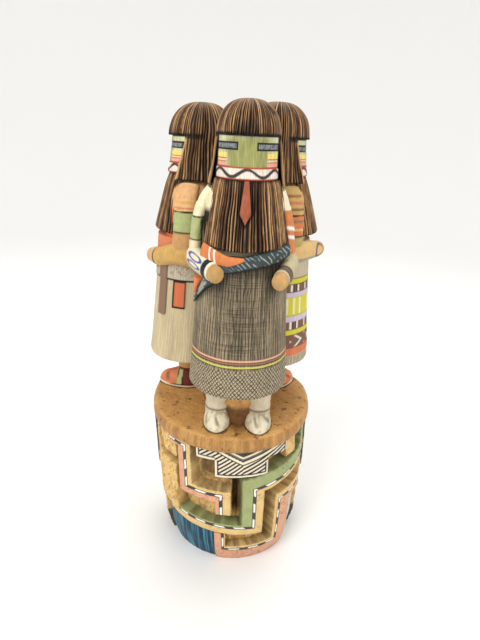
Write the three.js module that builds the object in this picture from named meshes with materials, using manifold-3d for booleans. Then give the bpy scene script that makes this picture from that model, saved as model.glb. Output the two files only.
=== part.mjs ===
// A cottonwood-root kachina carving: three long-haired, bearded figures standing back to back on a disc,
// over a round base cut through with stepped fret bands. It is one carving, from one root.
// Millimetres, +Z up. The origin is on the underside, on the disc's axis; the front figure looks along -Y.
import * as THREE from "three";
import { mergeVertices } from "three/addons/utils/BufferGeometryUtils.js";
import Module from "manifold-3d";

const wasm = await Module();
wasm.setup();

// ---- Driving dimensions ----
const DISC_TOP = 90;
const DISC_UNDERSIDE = 80.5;
const DISC_RADIUS = 45.3;
const FIGURE_HEIGHT = 160;

// Where each figure stands on the disc, how far it leans over its height, how its height compares with the
// front figure's, the way it faces in degrees from the front, and its fists.
const SPEC_FRONT = {
  foot: [2.5, -24.9],
  lean: [0, 0],
  tall: 1,
  facing: 1,
  raised: true,
  fists: { left: [-12.8, -23.6, 88], right: [17.2, -21.8, 84.8] },
};
const SPEC_LEFT = {
  foot: [-26, 16.4],
  lean: [5, -2.5],
  tall: 0.988,
  facing: -105,
  raised: false,
  fists: { left: [-12, -19.5, 82.5], right: [12, -19.5, 82.5] },
};
const SPEC_RIGHT = {
  foot: [19.8, 15.8],
  lean: [-1.9, -1.9],
  tall: 0.995,
  facing: 116,
  raised: false,
  fists: { left: [-12, -21.5, 88], right: [12, -21.5, 88] },
};

const EMBED = 1.5; // how far each carved form runs into the one it grows from
const FOOT_SHIFT = new THREE.Vector2(2.8, 3.5); // the base's foot stands this far off the disc's axis
const CORE_RADIUS = 34.5; // the floor of the carved recesses
const FACET = 15; // degrees of arc that one flat of the base spans

const rad = THREE.MathUtils.degToRad;
const lerp = THREE.MathUtils.lerp;
const clamp = THREE.MathUtils.clamp;

// ---- Solids ----

// A closed geometry as a solid, after `move` has put each of its points in place.
function solid(geometry, move) {
  geometry.deleteAttribute("normal");
  geometry.deleteAttribute("uv");
  const merged = mergeVertices(geometry, 1e-5);
  const position = merged.attributes.position;
  const point = new THREE.Vector3();
  for (let i = 0; i < position.count; i++) {
    point.fromBufferAttribute(position, i);
    if (move) point.copy(move(point));
    position.setXYZ(i, point.x, point.y, point.z);
  }
  const faces = [];
  const index = merged.index.array;
  for (let i = 0; i < index.length; i += 3) {
    const [a, b, c] = [index[i], index[i + 1], index[i + 2]];
    if (a !== b && b !== c && c !== a) faces.push(a, b, c);
  }
  const made = fromFaces(position.array, faces);
  if (made.volume() > 0) return made;
  const turned = [];
  for (let i = 0; i < faces.length; i += 3) turned.push(faces[i], faces[i + 2], faces[i + 1]);
  return fromFaces(position.array, turned);
}

function fromFaces(vertProperties, faces) {
  return new wasm.Manifold(new wasm.Mesh({ numProp: 3, vertProperties, triVerts: new Uint32Array(faces) }));
}

function join(solids) {
  return solids.reduce((whole, next) => whole.add(next));
}

// A block whose point at (u across, v outwards, w upwards), each from 0 to 1, is moved by `place`.
function block(across, upwards, place) {
  const box = new THREE.BoxGeometry(1, 1, 1, across, 1, upwards);
  return solid(box, (p) => place(p.x + 0.5, p.y + 0.5, p.z + 0.5));
}

// A body of revolution whose point at (angle, w upwards) lies at the [x radius, y radius, z] that `profile`
// gives; the angle is measured in radians from the front towards +X.
function turned(sides, rings, profile) {
  const drum = new THREE.CylinderGeometry(1, 1, 1, sides, rings);
  return solid(drum, (p) => {
    const angle = Math.atan2(p.x, p.z);
    const reach = Math.hypot(p.x, p.z);
    const [rx, ry, z] = profile(angle, p.y + 0.5);
    return new THREE.Vector3(reach * rx * Math.sin(angle), -reach * ry * Math.cos(angle), z);
  });
}

// A rounded form: an ellipsoid of the given half sizes about a centre, its underside squashed to `below`.
function pebble(centre, half, below, sides = 12, rings = 6) {
  const ball = new THREE.SphereGeometry(1, sides, rings);
  ball.rotateX(Math.PI / 2);
  return solid(ball, (p) => {
    const down = p.z < 0 ? below : half.z;
    return new THREE.Vector3(centre.x + p.x * half.x, centre.y + p.y * half.y, centre.z + p.z * down);
  });
}

// A limb along a curve through `points`; `section` gives [half width, half height] at each part of the way,
// the height measured towards `up`.
function limb(points, section, { steps = 2, sides = 8, up = new THREE.Vector3(0, 0, 1) } = {}) {
  const curve = new THREE.CatmullRomCurve3(points.map((p) => new THREE.Vector3(...p)));
  const drum = new THREE.CylinderGeometry(1, 1, 1, sides, steps);
  return solid(drum, (p) => {
    const t = p.y + 0.5;
    const along = curve.getTangent(t);
    const side = new THREE.Vector3().crossVectors(along, up).normalize();
    const rise = new THREE.Vector3().crossVectors(side, along);
    const [width, height] = section(t);
    return curve.getPoint(t).addScaledVector(side, p.x * width).addScaledVector(rise, p.z * height);
  });
}

// A flat outline in the XZ plane, standing proud of y by `depth` towards the front.
function plaque(outline, y, depth) {
  const shape = new THREE.Shape(outline.map(([x, z]) => new THREE.Vector2(x, z)));
  const plate = new THREE.ExtrudeGeometry(shape, { depth, bevelEnabled: false });
  return solid(plate, (p) => new THREE.Vector3(p.x, y - p.z, p.y));
}

// ---- One figure, on its own axis, looking along -Y, with its feet at z = 0 ----

const HEM_Z = 25.5;
const WAIST_Z = 91;
const SHOULDER_Z = 124;
const HAIR_END_Z = 124;
const CHIN_Z = 126.4;
const FRINGE_Z = 145;
const BEARD_END_Z = 97;

const CAP_HALF_WIDTH = 14.3;
const CAP_HALF_DEPTH = 17;
const CAP_LOCKS = 15;
const SIDE_LOCKS = 6;
const BEARD_LOCKS = 12;
const LOCK_DEPTH = 0.055; // of the radius

// Locks of hair: the radius falls in between every two locks.
function lockAt(turns, locks) {
  return 1 - LOCK_DEPTH * (0.5 + 0.5 * Math.cos(2 * Math.PI * turns * locks));
}

// The cap of hair over the head, its fringe cut straight all round.
function hairCap() {
  const rise = FIGURE_HEIGHT - FRINGE_Z;
  const profile = [new THREE.Vector2(0, FRINGE_Z)];
  const rings = 4;
  for (let i = 0; i <= rings; i++) {
    const a = (i / rings) * (Math.PI / 2);
    profile.push(new THREE.Vector2(Math.cos(a) ** 0.75, FRINGE_Z + rise * Math.sin(a)));
  }
  profile[profile.length - 1].x = 0;
  const lathe = new THREE.LatheGeometry(profile, 2 * CAP_LOCKS);
  return solid(lathe, (p) => {
    const angle = Math.atan2(p.x, p.z);
    const reach = Math.hypot(p.x, p.z) * lockAt(angle / (2 * Math.PI), CAP_LOCKS);
    const x = reach * CAP_HALF_WIDTH * Math.sin(angle);
    return new THREE.Vector3(x, -reach * CAP_HALF_DEPTH * Math.cos(angle), p.y);
  });
}

// The hair at the sides and back, cut square over the shoulders.
function sideHair() {
  return block(2 * SIDE_LOCKS, 2, (u, v, w) => {
    const opening = rad(lerp(74, 86, w));
    const angle = lerp(opening, 2 * Math.PI - opening, u);
    const flare = lerp(17.8, 14.6, w ** 0.8);
    const reach = lerp(0.35, lockAt(u, SIDE_LOCKS), v);
    const z = lerp(HAIR_END_Z, FRINGE_Z + EMBED, w);
    return new THREE.Vector3(reach * flare * Math.sin(angle), -reach * (flare + 2.2) * Math.cos(angle), z);
  });
}

// The head inside the hair and the mask.
function head() {
  return turned(10, 1, (angle, w) => [12, 13, lerp(SHOULDER_Z - EMBED, FRINGE_Z + EMBED, w)]);
}

// The cylinder mask, widening a little towards the mouth band.
function mask() {
  const half = rad(95);
  return block(10, 2, (u, v, w) => {
    const angle = lerp(-half, half, u);
    const rx = lerp(14.2, 13.7, w);
    const ry = lerp(17.2, 15.2, w ** 0.7);
    const z = lerp(CHIN_Z, FRINGE_Z + EMBED, w);
    return new THREE.Vector3(v * rx * Math.sin(angle), (1 - v) * 6 - v * ry * Math.cos(angle), z);
  });
}

// The wide fluted beard that hangs from the mask over the chest.
function beard() {
  const half = rad(76);
  return block(2 * BEARD_LOCKS, 2, (u, v, w) => {
    const angle = lerp(-half, half, u);
    const drop = 1 - w;
    const rx = 15.2 + 4.6 * drop ** 0.8;
    const ry = 15.8 + 7.7 * drop ** 0.9;
    const reach = v === 0 ? 0.45 : lockAt(u, BEARD_LOCKS);
    const end = BEARD_END_Z + 1.5 * Math.sin(angle) ** 2;
    const z = lerp(end, CHIN_Z + 0.6, w);
    return new THREE.Vector3(reach * rx * Math.sin(angle), -reach * ry * Math.cos(angle), z);
  });
}

// The long red tongue, a pointed tab that lies on the beard.
function tongue() {
  const outline = [
    [-1.2, CHIN_Z + 0.4],
    [-2.5, 113],
    [0, 108.6],
    [2.5, 113],
    [1.2, CHIN_Z + 0.4],
  ];
  const tab = plaque(outline, -16, 6);
  return tab.intersect(
    block(4, 2, (u, v, w) => {
      const z = lerp(107, 128, w);
      const lean = lerp(21.9, 16.7, clamp((z - 108) / 18, 0, 1));
      return new THREE.Vector3(lerp(-4, 4, u), lerp(-14, -lean, v), z);
    }),
  );
}

// The trunk from the waist to the sloping shoulders.
function trunk() {
  const levels = [WAIST_Z - EMBED, 108, 119, SHOULDER_Z + 1];
  const widths = [19.5, 19.5, 18, 13];
  const depths = [17.5, 15.5, 14, 10.5];
  return turned(14, levels.length - 1, (angle, w) => {
    const level = Math.round(w * (levels.length - 1));
    return [widths[level], depths[level], levels[level]];
  });
}

// An arm hangs from the shoulder to the elbow and comes forward to the fist; side is -1 or 1.
function arm(side, fist) {
  const upperPoints = [
    [side * 15.5, 0.5, 121],
    [side * 19.5, 0.5, 115],
    [side * 22.2, 1, 104],
    [side * 23.2, 1.5, 89],
  ];
  const frontwards = new THREE.Vector3(0, -1, 0);
  const upper = limb(upperPoints, (t) => [lerp(2.6, 3.4, t), lerp(5.2, 6, t)], { steps: 3, up: frontwards });
  const inFront = [side * lerp(21.5, Math.abs(fist[0]), 0.45), -13.5, fist[2] + 1];
  const elbow = [side * 22.6, 5, lerp(fist[2], 91, 0.5)];
  const fore = limb([elbow, inFront, fist], (t) => [lerp(4.4, 3.7, t), lerp(6, 4.4, t)]);
  const hand = pebble(new THREE.Vector3(...fist), new THREE.Vector3(4.5, 4.2, 4.7), 4.7, 8, 4);
  return join([upper, fore, hand]);
}

// The woven sash that crosses the waist to the raised hand, and its pointed end below the other.
function sash() {
  const across = limb(
    [
      [-14, -21, 90],
      [-4, -22.5, 93.4],
      [6, -21.5, 95.8],
      [15, -17.5, 98],
      [20.5, -10, 100],
    ],
    () => [2.2, 2.9],
    { steps: 4, sides: 6 },
  );
  const end = limb(
    [
      [-13, -21.5, 87],
      [-18, -16.8, 80.5],
      [-21.3, -11.8, 73.6],
    ],
    (t) => [lerp(2.1, 0.9, t), lerp(3.6, 0.6, t)],
    { sides: 6 },
  );
  return across.add(end);
}

// The fold of the shawl that shows below the beard.
function shawl() {
  return limb(
    [
      [-20.5, -10.5, 99],
      [-12, -19.6, 97.5],
      [-1.5, -22.2, 95.5],
    ],
    (t) => [1.7, lerp(5.6, 1.4, t)],
    { sides: 6 },
  );
}

// The straight dress, flaring to its hem.
function dress() {
  return turned(24, 2, (angle, w) => {
    const radius = lerp(25.2, 21.4, w ** 0.85);
    return [radius, radius, lerp(HEM_Z, WAIST_Z + 4, w)];
  });
}

// The belt at the waist of a figure whose sash is wound flat, with a tab hanging from it.
function belt() {
  const ring = turned(24, 1, (angle, w) => [22.6, 22.6, lerp(81.5, 89.5, w)]);
  const tab = block(2, 1, (u, v, w) => {
    const angle = rad(lerp(20, 34, u));
    const reach = lerp(18, 23, v);
    return new THREE.Vector3(reach * Math.sin(angle), -reach * Math.cos(angle), lerp(64, 82.5, w));
  });
  return ring.add(tab);
}

// A leg and its moccasin, with the toe towards the front.
function leg(side, toe) {
  const x = side * 10.7 + 0.8;
  const shin = turned(8, 1, (angle, w) => [6.4, 7.2, lerp(4, HEM_Z + EMBED, w)]);
  const length = (toe + 8) / 2;
  const foot = pebble(new THREE.Vector3(x, -toe + length, 0), new THREE.Vector3(7, length, 11), 4, 10, 5);
  return shin.translate(x, -1, 0).add(foot);
}

// The wood left uncut between the legs.
function mound() {
  return pebble(new THREE.Vector3(0, 2, 0), new THREE.Vector3(9, 8, HEM_Z + EMBED), 3, 8, 4);
}

function figure({ raised, fists }) {
  const parts = [hairCap(), sideHair(), head(), mask(), beard(), tongue(), trunk(), dress(), mound()];
  parts.push(arm(-1, fists.left), arm(1, fists.right));
  parts.push(...(raised ? [sash(), shawl()] : [belt()]));
  const toe = raised ? 15.3 : 19;
  parts.push(leg(-1, toe), leg(1, toe));
  return join(parts);
}

function placedFigure(spec) {
  const leaning = new THREE.Matrix4().set(
    ...[1, 0, spec.lean[0] / FIGURE_HEIGHT, spec.foot[0]],
    ...[0, 1, spec.lean[1] / FIGURE_HEIGHT, spec.foot[1]],
    ...[0, 0, spec.tall, DISC_TOP],
    ...[0, 0, 0, 1],
  );
  return figure(spec).rotate(0, 0, spec.facing).transform(leaning.elements);
}

// The root's heart, left standing between the three backs.
function heartwood() {
  return turned(12, 3, (angle, w) => {
    const radius = lerp(17, 11, w);
    return [radius, radius, lerp(DISC_TOP - 3, DISC_TOP + 119, w)];
  });
}

// ---- Disc ----

function disc() {
  const edge = (DISC_TOP - DISC_UNDERSIDE) / 2;
  const profile = [
    new THREE.Vector2(0, DISC_UNDERSIDE),
    new THREE.Vector2(DISC_RADIUS - 2.2, DISC_UNDERSIDE),
  ];
  const bulge = 3;
  for (let i = 0; i <= bulge; i++) {
    const a = lerp(-70, 70, i / bulge);
    const x = DISC_RADIUS - 1.9 + 1.9 * Math.cos(rad(a));
    profile.push(new THREE.Vector2(x, DISC_UNDERSIDE + edge + (edge - 0.4) * Math.sin(rad(a))));
  }
  profile.push(new THREE.Vector2(DISC_RADIUS - 2.6, DISC_TOP), new THREE.Vector2(0, DISC_TOP));
  const lathe = new THREE.LatheGeometry(profile, 32);
  return solid(lathe, (p) => {
    const angle = Math.atan2(p.x, p.z);
    const beside = (Math.abs(angle) - rad(125)) / rad(24); // the outer figures' feet need more room
    const room = 0.11 * Math.exp(-(beside ** 2));
    const wobble = 1 + 0.006 * Math.sin(3 * angle + 1) + 0.004 * Math.sin(5 * angle) + room;
    return new THREE.Vector3(p.x * wobble, -p.z * wobble, p.y);
  });
}

// ---- Carved base ----

// The base's outer radius: it draws in towards the foot.
function baseRadius(z) {
  const levels = [0, 5, 12, 30, 50, 81];
  const radii = [37.5, 39, 40.5, 42, 43, 43.5];
  const i = clamp(levels.findIndex((level) => z <= level), 1, levels.length - 1);
  return lerp(radii[i - 1], radii[i], clamp((z - levels[i - 1]) / (levels[i] - levels[i - 1]), 0, 1));
}

// A point of the base at an angle (degrees from the front towards +X), a height and a radius.
function basePoint(angle, z, radius) {
  const shift = 1 - z / DISC_UNDERSIDE;
  const x = FOOT_SHIFT.x * shift + radius * Math.sin(rad(angle));
  return new THREE.Vector3(x, FOOT_SHIFT.y * shift - radius * Math.cos(rad(angle)), z);
}

// The values from low to high, with every multiple of `step` between them.
function stops(low, high, step) {
  const values = [low];
  const margin = step * 0.2;
  for (let at = Math.ceil((low + margin) / step) * step; at < high - margin; at += step) values.push(at);
  return [...values, high];
}

// A raised limb of the fret: it spans two angles and two heights and stands out by `proud` of the surface.
function bar([from, to, low, high, proud = 0]) {
  const angles = stops(from, to, FACET);
  const heights = stops(low, high, 32);
  return block(angles.length - 1, heights.length - 1, (u, v, w) => {
    const z = heights[Math.round(w * (heights.length - 1))];
    const inner = CORE_RADIUS - 7;
    const radius = v > 0.5 ? baseRadius(z) + proud : inner;
    return basePoint(angles[Math.round(u * (angles.length - 1))], z, radius);
  });
}

// The fret on one face of the base, as bars [from, to, low, high, proud].
const TOP = DISC_UNDERSIDE + 1;
const FRET = [
  // the upper band steps down, across and down again
  [-41, -27, 45.5, TOP],
  [-41, 3, 45.5, 55.5],
  [-11, 3, 37.5, 55.5],
  // the middle band comes down at the far right, runs in, down and out to the left
  [70, 86, 50.5, TOP],
  [9, 82, 50.5, 62],
  [9, 28, 21, 59],
  [-50, 28, 22, 32],
  // the lower frame
  [-12, 56, 0, 12],
  [-12, -2, 0, 23],
  [38, 56, 0, 46],
  [38, 78, 37, 46],
  // the field beside it, and the field at the far right, set back
  [-61, -10, 0, 24, -1.2],
  [54, 78, 0, 39, -2.2],
  // the stepped panel under the disc
  [-24, 47, 75.5, TOP, -0.6],
  [-10, 29.5, 64.5, TOP, -0.6],
  // the rough posts beside the fret
  [-66, -45, 66, TOP, -1.2],
  [-69, -44, 30, 62.5, 0.2],
  [49, 62, 68, TOP, -1.5],
];

// The back repeats only the fret's bands.
const PLAIN_BARS = 11;

// The plumb pilasters that part one face of the base from the next, as [from, to, low, high, radius].
const PILASTERS = [
  [85, 98, 45, TOP, 45],
  [-96, -72, 0, TOP, 43.2],
];

function pilaster([from, to, low, high, radius]) {
  const foot = radius - 3.5;
  return block(2, 2, (u, v, w) => {
    const angle = rad(lerp(from, to, u));
    const z = w === 0.5 ? Math.max(20, lerp(low, high, w)) : lerp(low, high, w);
    const outer = lerp(foot, radius, clamp(z / 20, 0, 1));
    const reach = lerp(CORE_RADIUS - 9, outer, v);
    return new THREE.Vector3(reach * Math.sin(angle), -reach * Math.cos(angle), z);
  });
}

// The core behind the recesses, leaning as the base does.
function core() {
  return solid(new THREE.CylinderGeometry(1, 1, 1, 24, 1), (p) => {
    const angle = THREE.MathUtils.radToDeg(Math.atan2(p.x, p.z));
    return basePoint(angle, lerp(0, TOP, p.y + 0.5), Math.hypot(p.x, p.z) * CORE_RADIUS);
  });
}

function base() {
  const halfTurn = (angles) => [angles[0] + 180, angles[1] + 180, ...angles.slice(2)];
  const bars = [...FRET, ...FRET.slice(0, PLAIN_BARS).map(halfTurn)];
  const pilasters = [...PILASTERS, ...PILASTERS.map(halfTurn)];
  return join([core(), ...bars.map(bar), ...pilasters.map(pilaster)]);
}

// ---- The carving ----

const carving = join([
  disc(),
  base(),
  heartwood(),
  placedFigure(SPEC_FRONT),
  placedFigure(SPEC_LEFT),
  placedFigure(SPEC_RIGHT),
]);

function toMesh(name, made, colour) {
  const { vertProperties, triVerts } = made.getMesh();
  const geometry = new THREE.BufferGeometry();
  geometry.setAttribute("position", new THREE.BufferAttribute(new Float32Array(vertProperties), 3));
  geometry.setIndex(new THREE.BufferAttribute(new Uint32Array(triVerts), 1));
  const material = new THREE.MeshStandardMaterial({ color: colour, roughness: 0.75, metalness: 0 });
  const mesh = new THREE.Mesh(geometry, material);
  mesh.name = name;
  return mesh;
}

const group = new THREE.Group();
group.add(toMesh("kachina_carving", carving, 0xa8763f));

export default group;
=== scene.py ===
"""Looks of a kachina carving: three painted figures on a disc, over a base carved with stepped fret bands.

Shapes are worked out in millimetres of the 250 mm tall carving, and turned to metres as each mesh is made.
Every figure is made on its own axis, looking along -Y with its feet at z = 0, and then set on the disc.
"""

import math

import bpy
import numpy as np
from mathutils import Matrix, Vector


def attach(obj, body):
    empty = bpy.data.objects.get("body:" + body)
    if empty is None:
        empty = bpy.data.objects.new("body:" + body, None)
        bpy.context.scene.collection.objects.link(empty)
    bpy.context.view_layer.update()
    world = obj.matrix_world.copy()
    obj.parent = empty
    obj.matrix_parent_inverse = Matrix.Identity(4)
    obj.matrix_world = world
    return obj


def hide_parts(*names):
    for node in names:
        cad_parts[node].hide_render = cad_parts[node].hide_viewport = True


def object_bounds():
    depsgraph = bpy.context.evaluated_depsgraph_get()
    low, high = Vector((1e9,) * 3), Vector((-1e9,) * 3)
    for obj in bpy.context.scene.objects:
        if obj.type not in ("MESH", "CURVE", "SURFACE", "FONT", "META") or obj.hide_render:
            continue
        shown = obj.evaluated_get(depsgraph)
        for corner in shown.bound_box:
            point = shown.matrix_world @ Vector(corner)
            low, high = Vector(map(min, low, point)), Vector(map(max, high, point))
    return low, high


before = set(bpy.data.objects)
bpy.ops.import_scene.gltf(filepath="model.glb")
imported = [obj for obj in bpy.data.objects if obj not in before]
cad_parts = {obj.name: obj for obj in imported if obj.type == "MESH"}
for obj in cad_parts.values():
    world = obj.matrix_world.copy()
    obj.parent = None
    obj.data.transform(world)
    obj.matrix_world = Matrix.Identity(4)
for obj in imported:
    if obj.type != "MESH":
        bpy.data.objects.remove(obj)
CAD_LOW, CAD_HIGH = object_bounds()
MM = CAD_HIGH.z / 250

NODE = "kachina_carving"
DISC_TOP = 90
DISC_UNDERSIDE = 80.5
DISC_RADIUS = 45.3
FOOT_SHIFT = (2.8, 3.5)  # how far the base's foot stands off the disc's axis
CORE_RADIUS = 34.5
SIDES = {-1: "left", 1: "right"}


# ---- Numbers ----


def lerp(a, b, t):
    return a + (b - a) * t


def smooth(x, low, high):
    """0 below low, 1 above high, and a soft step between."""
    t = np.clip((x - low) / (high - low), 0, 1)
    return t * t * (3 - 2 * t)


def fall(x, low, high):
    """1 below low, 0 above high, and a soft step between."""
    return 1 - smooth(x, low, high)


def within(x, low, high, soft=0.12):
    """1 where x lies from low to high, with soft ends."""
    return smooth(x, low - soft, low + soft) * fall(x, high - soft, high + soft)


def noise(x, y=0.0, z=0.0, seed=0):
    """Smooth value noise from -1 to 1, one lattice cell to each unit."""
    axes = np.broadcast_arrays(np.asarray(x, float), np.asarray(y, float), np.asarray(z, float))
    cells = [np.floor(a).astype(np.int64) for a in axes]
    parts = [a - c for a, c in zip(axes, cells)]
    parts = [t * t * (3 - 2 * t) for t in parts]
    total = np.zeros(axes[0].shape)
    for corner in np.ndindex(2, 2, 2):
        weight = np.ones(axes[0].shape)
        mixed = np.full(axes[0].shape, seed * 7919 + 17, dtype=np.int64)
        for cell, t, step, prime in zip(cells, parts, corner, (73856093, 19349663, 83492791)):
            mixed = mixed ^ ((cell + step) * prime)
            weight = weight * (t if step else 1 - t)
        total += weight * scatter(mixed)
    return total


def scatter(whole):
    """A number from -1 to 1 for each whole number, the same on every run."""
    mixed = (np.asarray(whole).astype(np.int64) * 2654435761) & 0xFFFFFFFF
    mixed = ((mixed ^ (mixed >> 15)) * 2246822519) & 0xFFFFFFFF
    mixed = mixed ^ (mixed >> 13)
    return mixed / 0x7FFFFFFF - 1


def signed(a):
    """An angle as it is counted from the front, from -pi to pi."""
    return (a + np.pi) % (2 * np.pi) - np.pi


def from_front(a):
    """How far round from the front an angle is, in degrees."""
    return np.degrees(np.abs(signed(a)))


def all_round(count):
    """Evenly spaced angles, all the way round."""
    return np.linspace(0, 2 * np.pi, count, endpoint=False)


def turned(x, y, degrees):
    """A point turned about the origin."""
    a = math.radians(degrees)
    return x * math.cos(a) - y * math.sin(a), x * math.sin(a) + y * math.cos(a)


def stack(x, y, z):
    """Points from their coordinates."""
    return np.stack(np.broadcast_arrays(x, y, z), axis=-1)


def around(angles, heights, rx, ry):
    """Points at angles (radians from the front towards +X) on an ellipse of half sizes rx and ry."""
    return stack(rx * np.sin(angles), -ry * np.cos(angles), heights)


# ---- Paint ----


def rgb(red, green, blue):
    """A colour given as it looks on screen, 0 to 255, as linear light."""
    c = np.array([red, green, blue]) / 255
    return np.where(c <= 0.04045, c / 12.92, ((c + 0.055) / 1.055) ** 2.4)


BLACK = rgb(24, 20, 18)
CHARCOAL = rgb(66, 64, 62)
WHITE = rgb(240, 236, 226)
CREAM = rgb(230, 219, 186)
TAN = rgb(220, 186, 124)
PINK = rgb(214, 158, 124)
GREEN = rgb(158, 166, 112)
BLUE = rgb(30, 84, 118)
ORANGE = rgb(208, 126, 70)
RUST = rgb(170, 62, 38)


def over(paint, *layers):
    """Lays colours over the paint in turn, each by an amount from 0 to 1 at each point."""
    for colour, amount in layers:
        amount = np.clip(amount, 0, 1)[..., None]
        paint = paint * (1 - amount) + np.asarray(colour) * amount
    return paint


def burned(paint, *amounts):
    """Darkens the paint to black, by each amount in turn: burned marks, and painted shade as well."""
    return over(paint, *[(BLACK, amount) for amount in amounts])


def stripes(paint, at, rows, soft=0.12, strength=1.0):
    """Lays stripes over the paint, each from one value of `at` to another and in its own colour."""
    return over(paint, *[(colour, strength * within(at, low, high, soft)) for low, high, colour in rows])


def mottle(paint, points, size, strength, seed=0):
    """Uneven paint: lighter and darker in patches of about `size`."""
    x, y, z = np.moveaxis(points, -1, 0) / size
    patches = noise(x, y, z, seed) + 0.5 * noise(2.3 * x, 2.3 * y, 2.3 * z, seed + 1)
    return paint * (1 + strength * patches)[..., None]


# ---- Meshes ----


def with_ends(values):
    """A grid of values as a list, with the means of its first and last rows added for the end caps."""
    flat = values.reshape(-1, values.shape[-1])
    return np.concatenate([flat, values[[0, -1]].mean(axis=1)])


def grid_faces(rows, count):
    """The four-sided faces between closed rows of points, and the triangles of the two end caps."""
    index = np.arange(rows * count).reshape(rows, count)
    ahead = np.roll(index, -1, axis=1)
    quads = np.stack([index[:-1], ahead[:-1], ahead[1:], index[1:]], axis=-1).reshape(-1, 4)
    bottom = np.stack([ahead[0], index[0], np.full(count, rows * count)], axis=-1)
    top = np.stack([index[-1], ahead[-1], np.full(count, rows * count + 1)], axis=-1)
    return quads, np.concatenate([bottom, top])


def volume(points, quads, fans):
    """Six times the volume inside the faces: below zero if they look inwards."""
    triangles = np.concatenate([quads[:, :3], quads[:, [0, 2, 3]], fans])
    a, b, c = np.moveaxis(points[triangles], 1, 0)
    return np.sum(a * np.cross(b, c))


def loft(name, rings, paint, material, lines=0.0, surf=None, sharp=42):
    """A closed piece from rows of points, in millimetres, each row a closed loop, with its two ends capped.
    `lines` says how strongly its material's lines are burned in, and `surf` where its grain is read."""
    points = with_ends(rings)
    quads, fans = grid_faces(*rings.shape[:2])
    if volume(points, quads, fans) < 0:
        quads, fans = quads[:, ::-1], fans[:, ::-1]
    sizes = np.concatenate([np.full(len(quads), 4), np.full(len(fans), 3)])
    mesh = bpy.data.meshes.new(name)
    mesh.vertices.add(len(points))
    mesh.vertices.foreach_set("co", (points * MM).ravel())
    mesh.loops.add(quads.size + fans.size)
    mesh.loops.foreach_set("vertex_index", np.concatenate([quads.ravel(), fans.ravel()]))
    mesh.polygons.add(len(sizes))
    mesh.polygons.foreach_set("loop_start", np.cumsum(sizes) - sizes)
    mesh.polygons.foreach_set("use_smooth", np.ones(len(sizes), bool))
    mesh.update(calc_edges=True)
    mesh.validate()
    mesh.set_sharp_from_angle(angle=math.radians(sharp))
    add_colours(mesh, "Paint", np.clip(np.broadcast_to(paint, rings.shape), 0, 1))
    add_colours(mesh, "Lines", np.broadcast_to(lines, rings.shape))
    where = mesh.attributes.new("Surf", "FLOAT_VECTOR", "POINT")
    where.data.foreach_set("vector", with_ends(rings if surf is None else surf).ravel())
    mesh.materials.append(material)
    piece = bpy.data.objects.new(name, mesh)
    bpy.context.scene.collection.objects.link(piece)
    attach(piece, "root")
    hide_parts(NODE)


def add_colours(mesh, name, values):
    """Gives the mesh a layer of colours, one to a point."""
    opaque = np.pad(with_ends(values), ((0, 0), (0, 1)), constant_values=1)
    layer = mesh.color_attributes.new(name, "FLOAT_COLOR", "POINT")
    layer.data.foreach_set("color", opaque.ravel())


# ---- Materials ----


class Nodes:
    """A material's nodes, made and joined in short lines."""

    def __init__(self, name):
        self.material = bpy.data.materials.new(name)
        self.material.use_nodes = True
        self.tree = self.material.node_tree
        self.shader = self.tree.nodes["Principled BSDF"]

    def node(self, kind, inputs, **settings):
        made = self.tree.nodes.new("ShaderNode" + kind)
        for key, value in settings.items():
            setattr(made, key, value)
        for key, value in inputs.items():
            self.set(made.inputs[key], value)
        return made.outputs

    def set(self, socket, value):
        if isinstance(value, bpy.types.NodeSocket):
            self.tree.links.new(value, socket)
        else:
            socket.default_value = value

    def maths(self, operation, a, b=0.0, clamp=False):
        return self.node("Math", {0: a, 1: b}, operation=operation, use_clamp=clamp)[0]

    def attribute(self, name, output="Color"):
        return self.node("Attribute", {}, attribute_name=name)[output]

    def noise(self, vector, scale, detail=2.0, roughness=0.5):
        spread = self.node("Mapping", {"Vector": vector, "Scale": scale})[0]
        inputs = {"Vector": spread, "Scale": 1.0, "Detail": detail, "Roughness": roughness}
        return self.node("TexNoise", inputs)["Fac"]

    def ramp(self, value, low, high, to_low=0.0, to_high=1.0):
        inputs = {"Value": value, "From Min": low, "From Max": high, "To Min": to_low, "To Max": to_high}
        return self.node("MapRange", inputs)[0]

    def times(self, colour, factor):
        return self.node("VectorMath", {0: colour, 1: factor}, operation="MULTIPLY")[0]


def burned_lines(n, where, direction, period, wander, thick):
    """Burned lines a `period` apart in millimetres, crossing `direction`: 0 in a line and 1 beside it."""
    across = n.node("VectorMath", {0: where, 1: direction}, operation="DOT_PRODUCT")["Value"]
    drift = n.maths("MULTIPLY", n.noise(where, (0.3, 0.3, 0.07)), wander)
    phase = n.maths("ADD", n.maths("MULTIPLY", across, 2 * math.pi / period), drift)
    broken = n.ramp(n.noise(where, (0.9, 0.9, 0.3)), 0.35, 0.6, -1.05, thick)
    return n.maths("MULTIPLY", n.maths("SUBTRACT", n.maths("SINE", phase), broken), 2.6, clamp=True)


def all_burned_lines(n, where, strengths):
    """Upright, slanting and level lines, each as strong as the mesh says."""
    fine = n.ramp(n.noise(where, (3.0, 0.6, 0.04), 2, 0.7), 0.4, 0.55)
    upright = n.maths("MINIMUM", fine, burned_lines(n, where, (1, 0, 0), 1.5, 12, -0.55))
    crossing = [burned_lines(n, where, (1, 0, lean), 1.7, 8, -0.7) for lean in (0.75, -0.75)]
    slant = n.maths("MINIMUM", *crossing)
    level = n.ramp(n.noise(where, (0.06, 0.4, 2.4)), 0.4, 0.52)
    marks = 1.0
    for strength, line in zip(strengths, (upright, slant, level)):
        dark = n.maths("MULTIPLY", n.maths("SUBTRACT", 1.0, line, clamp=True), strength)
        marks = n.maths("MULTIPLY", marks, n.maths("SUBTRACT", 1.0, dark, clamp=True))
    return marks


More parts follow.
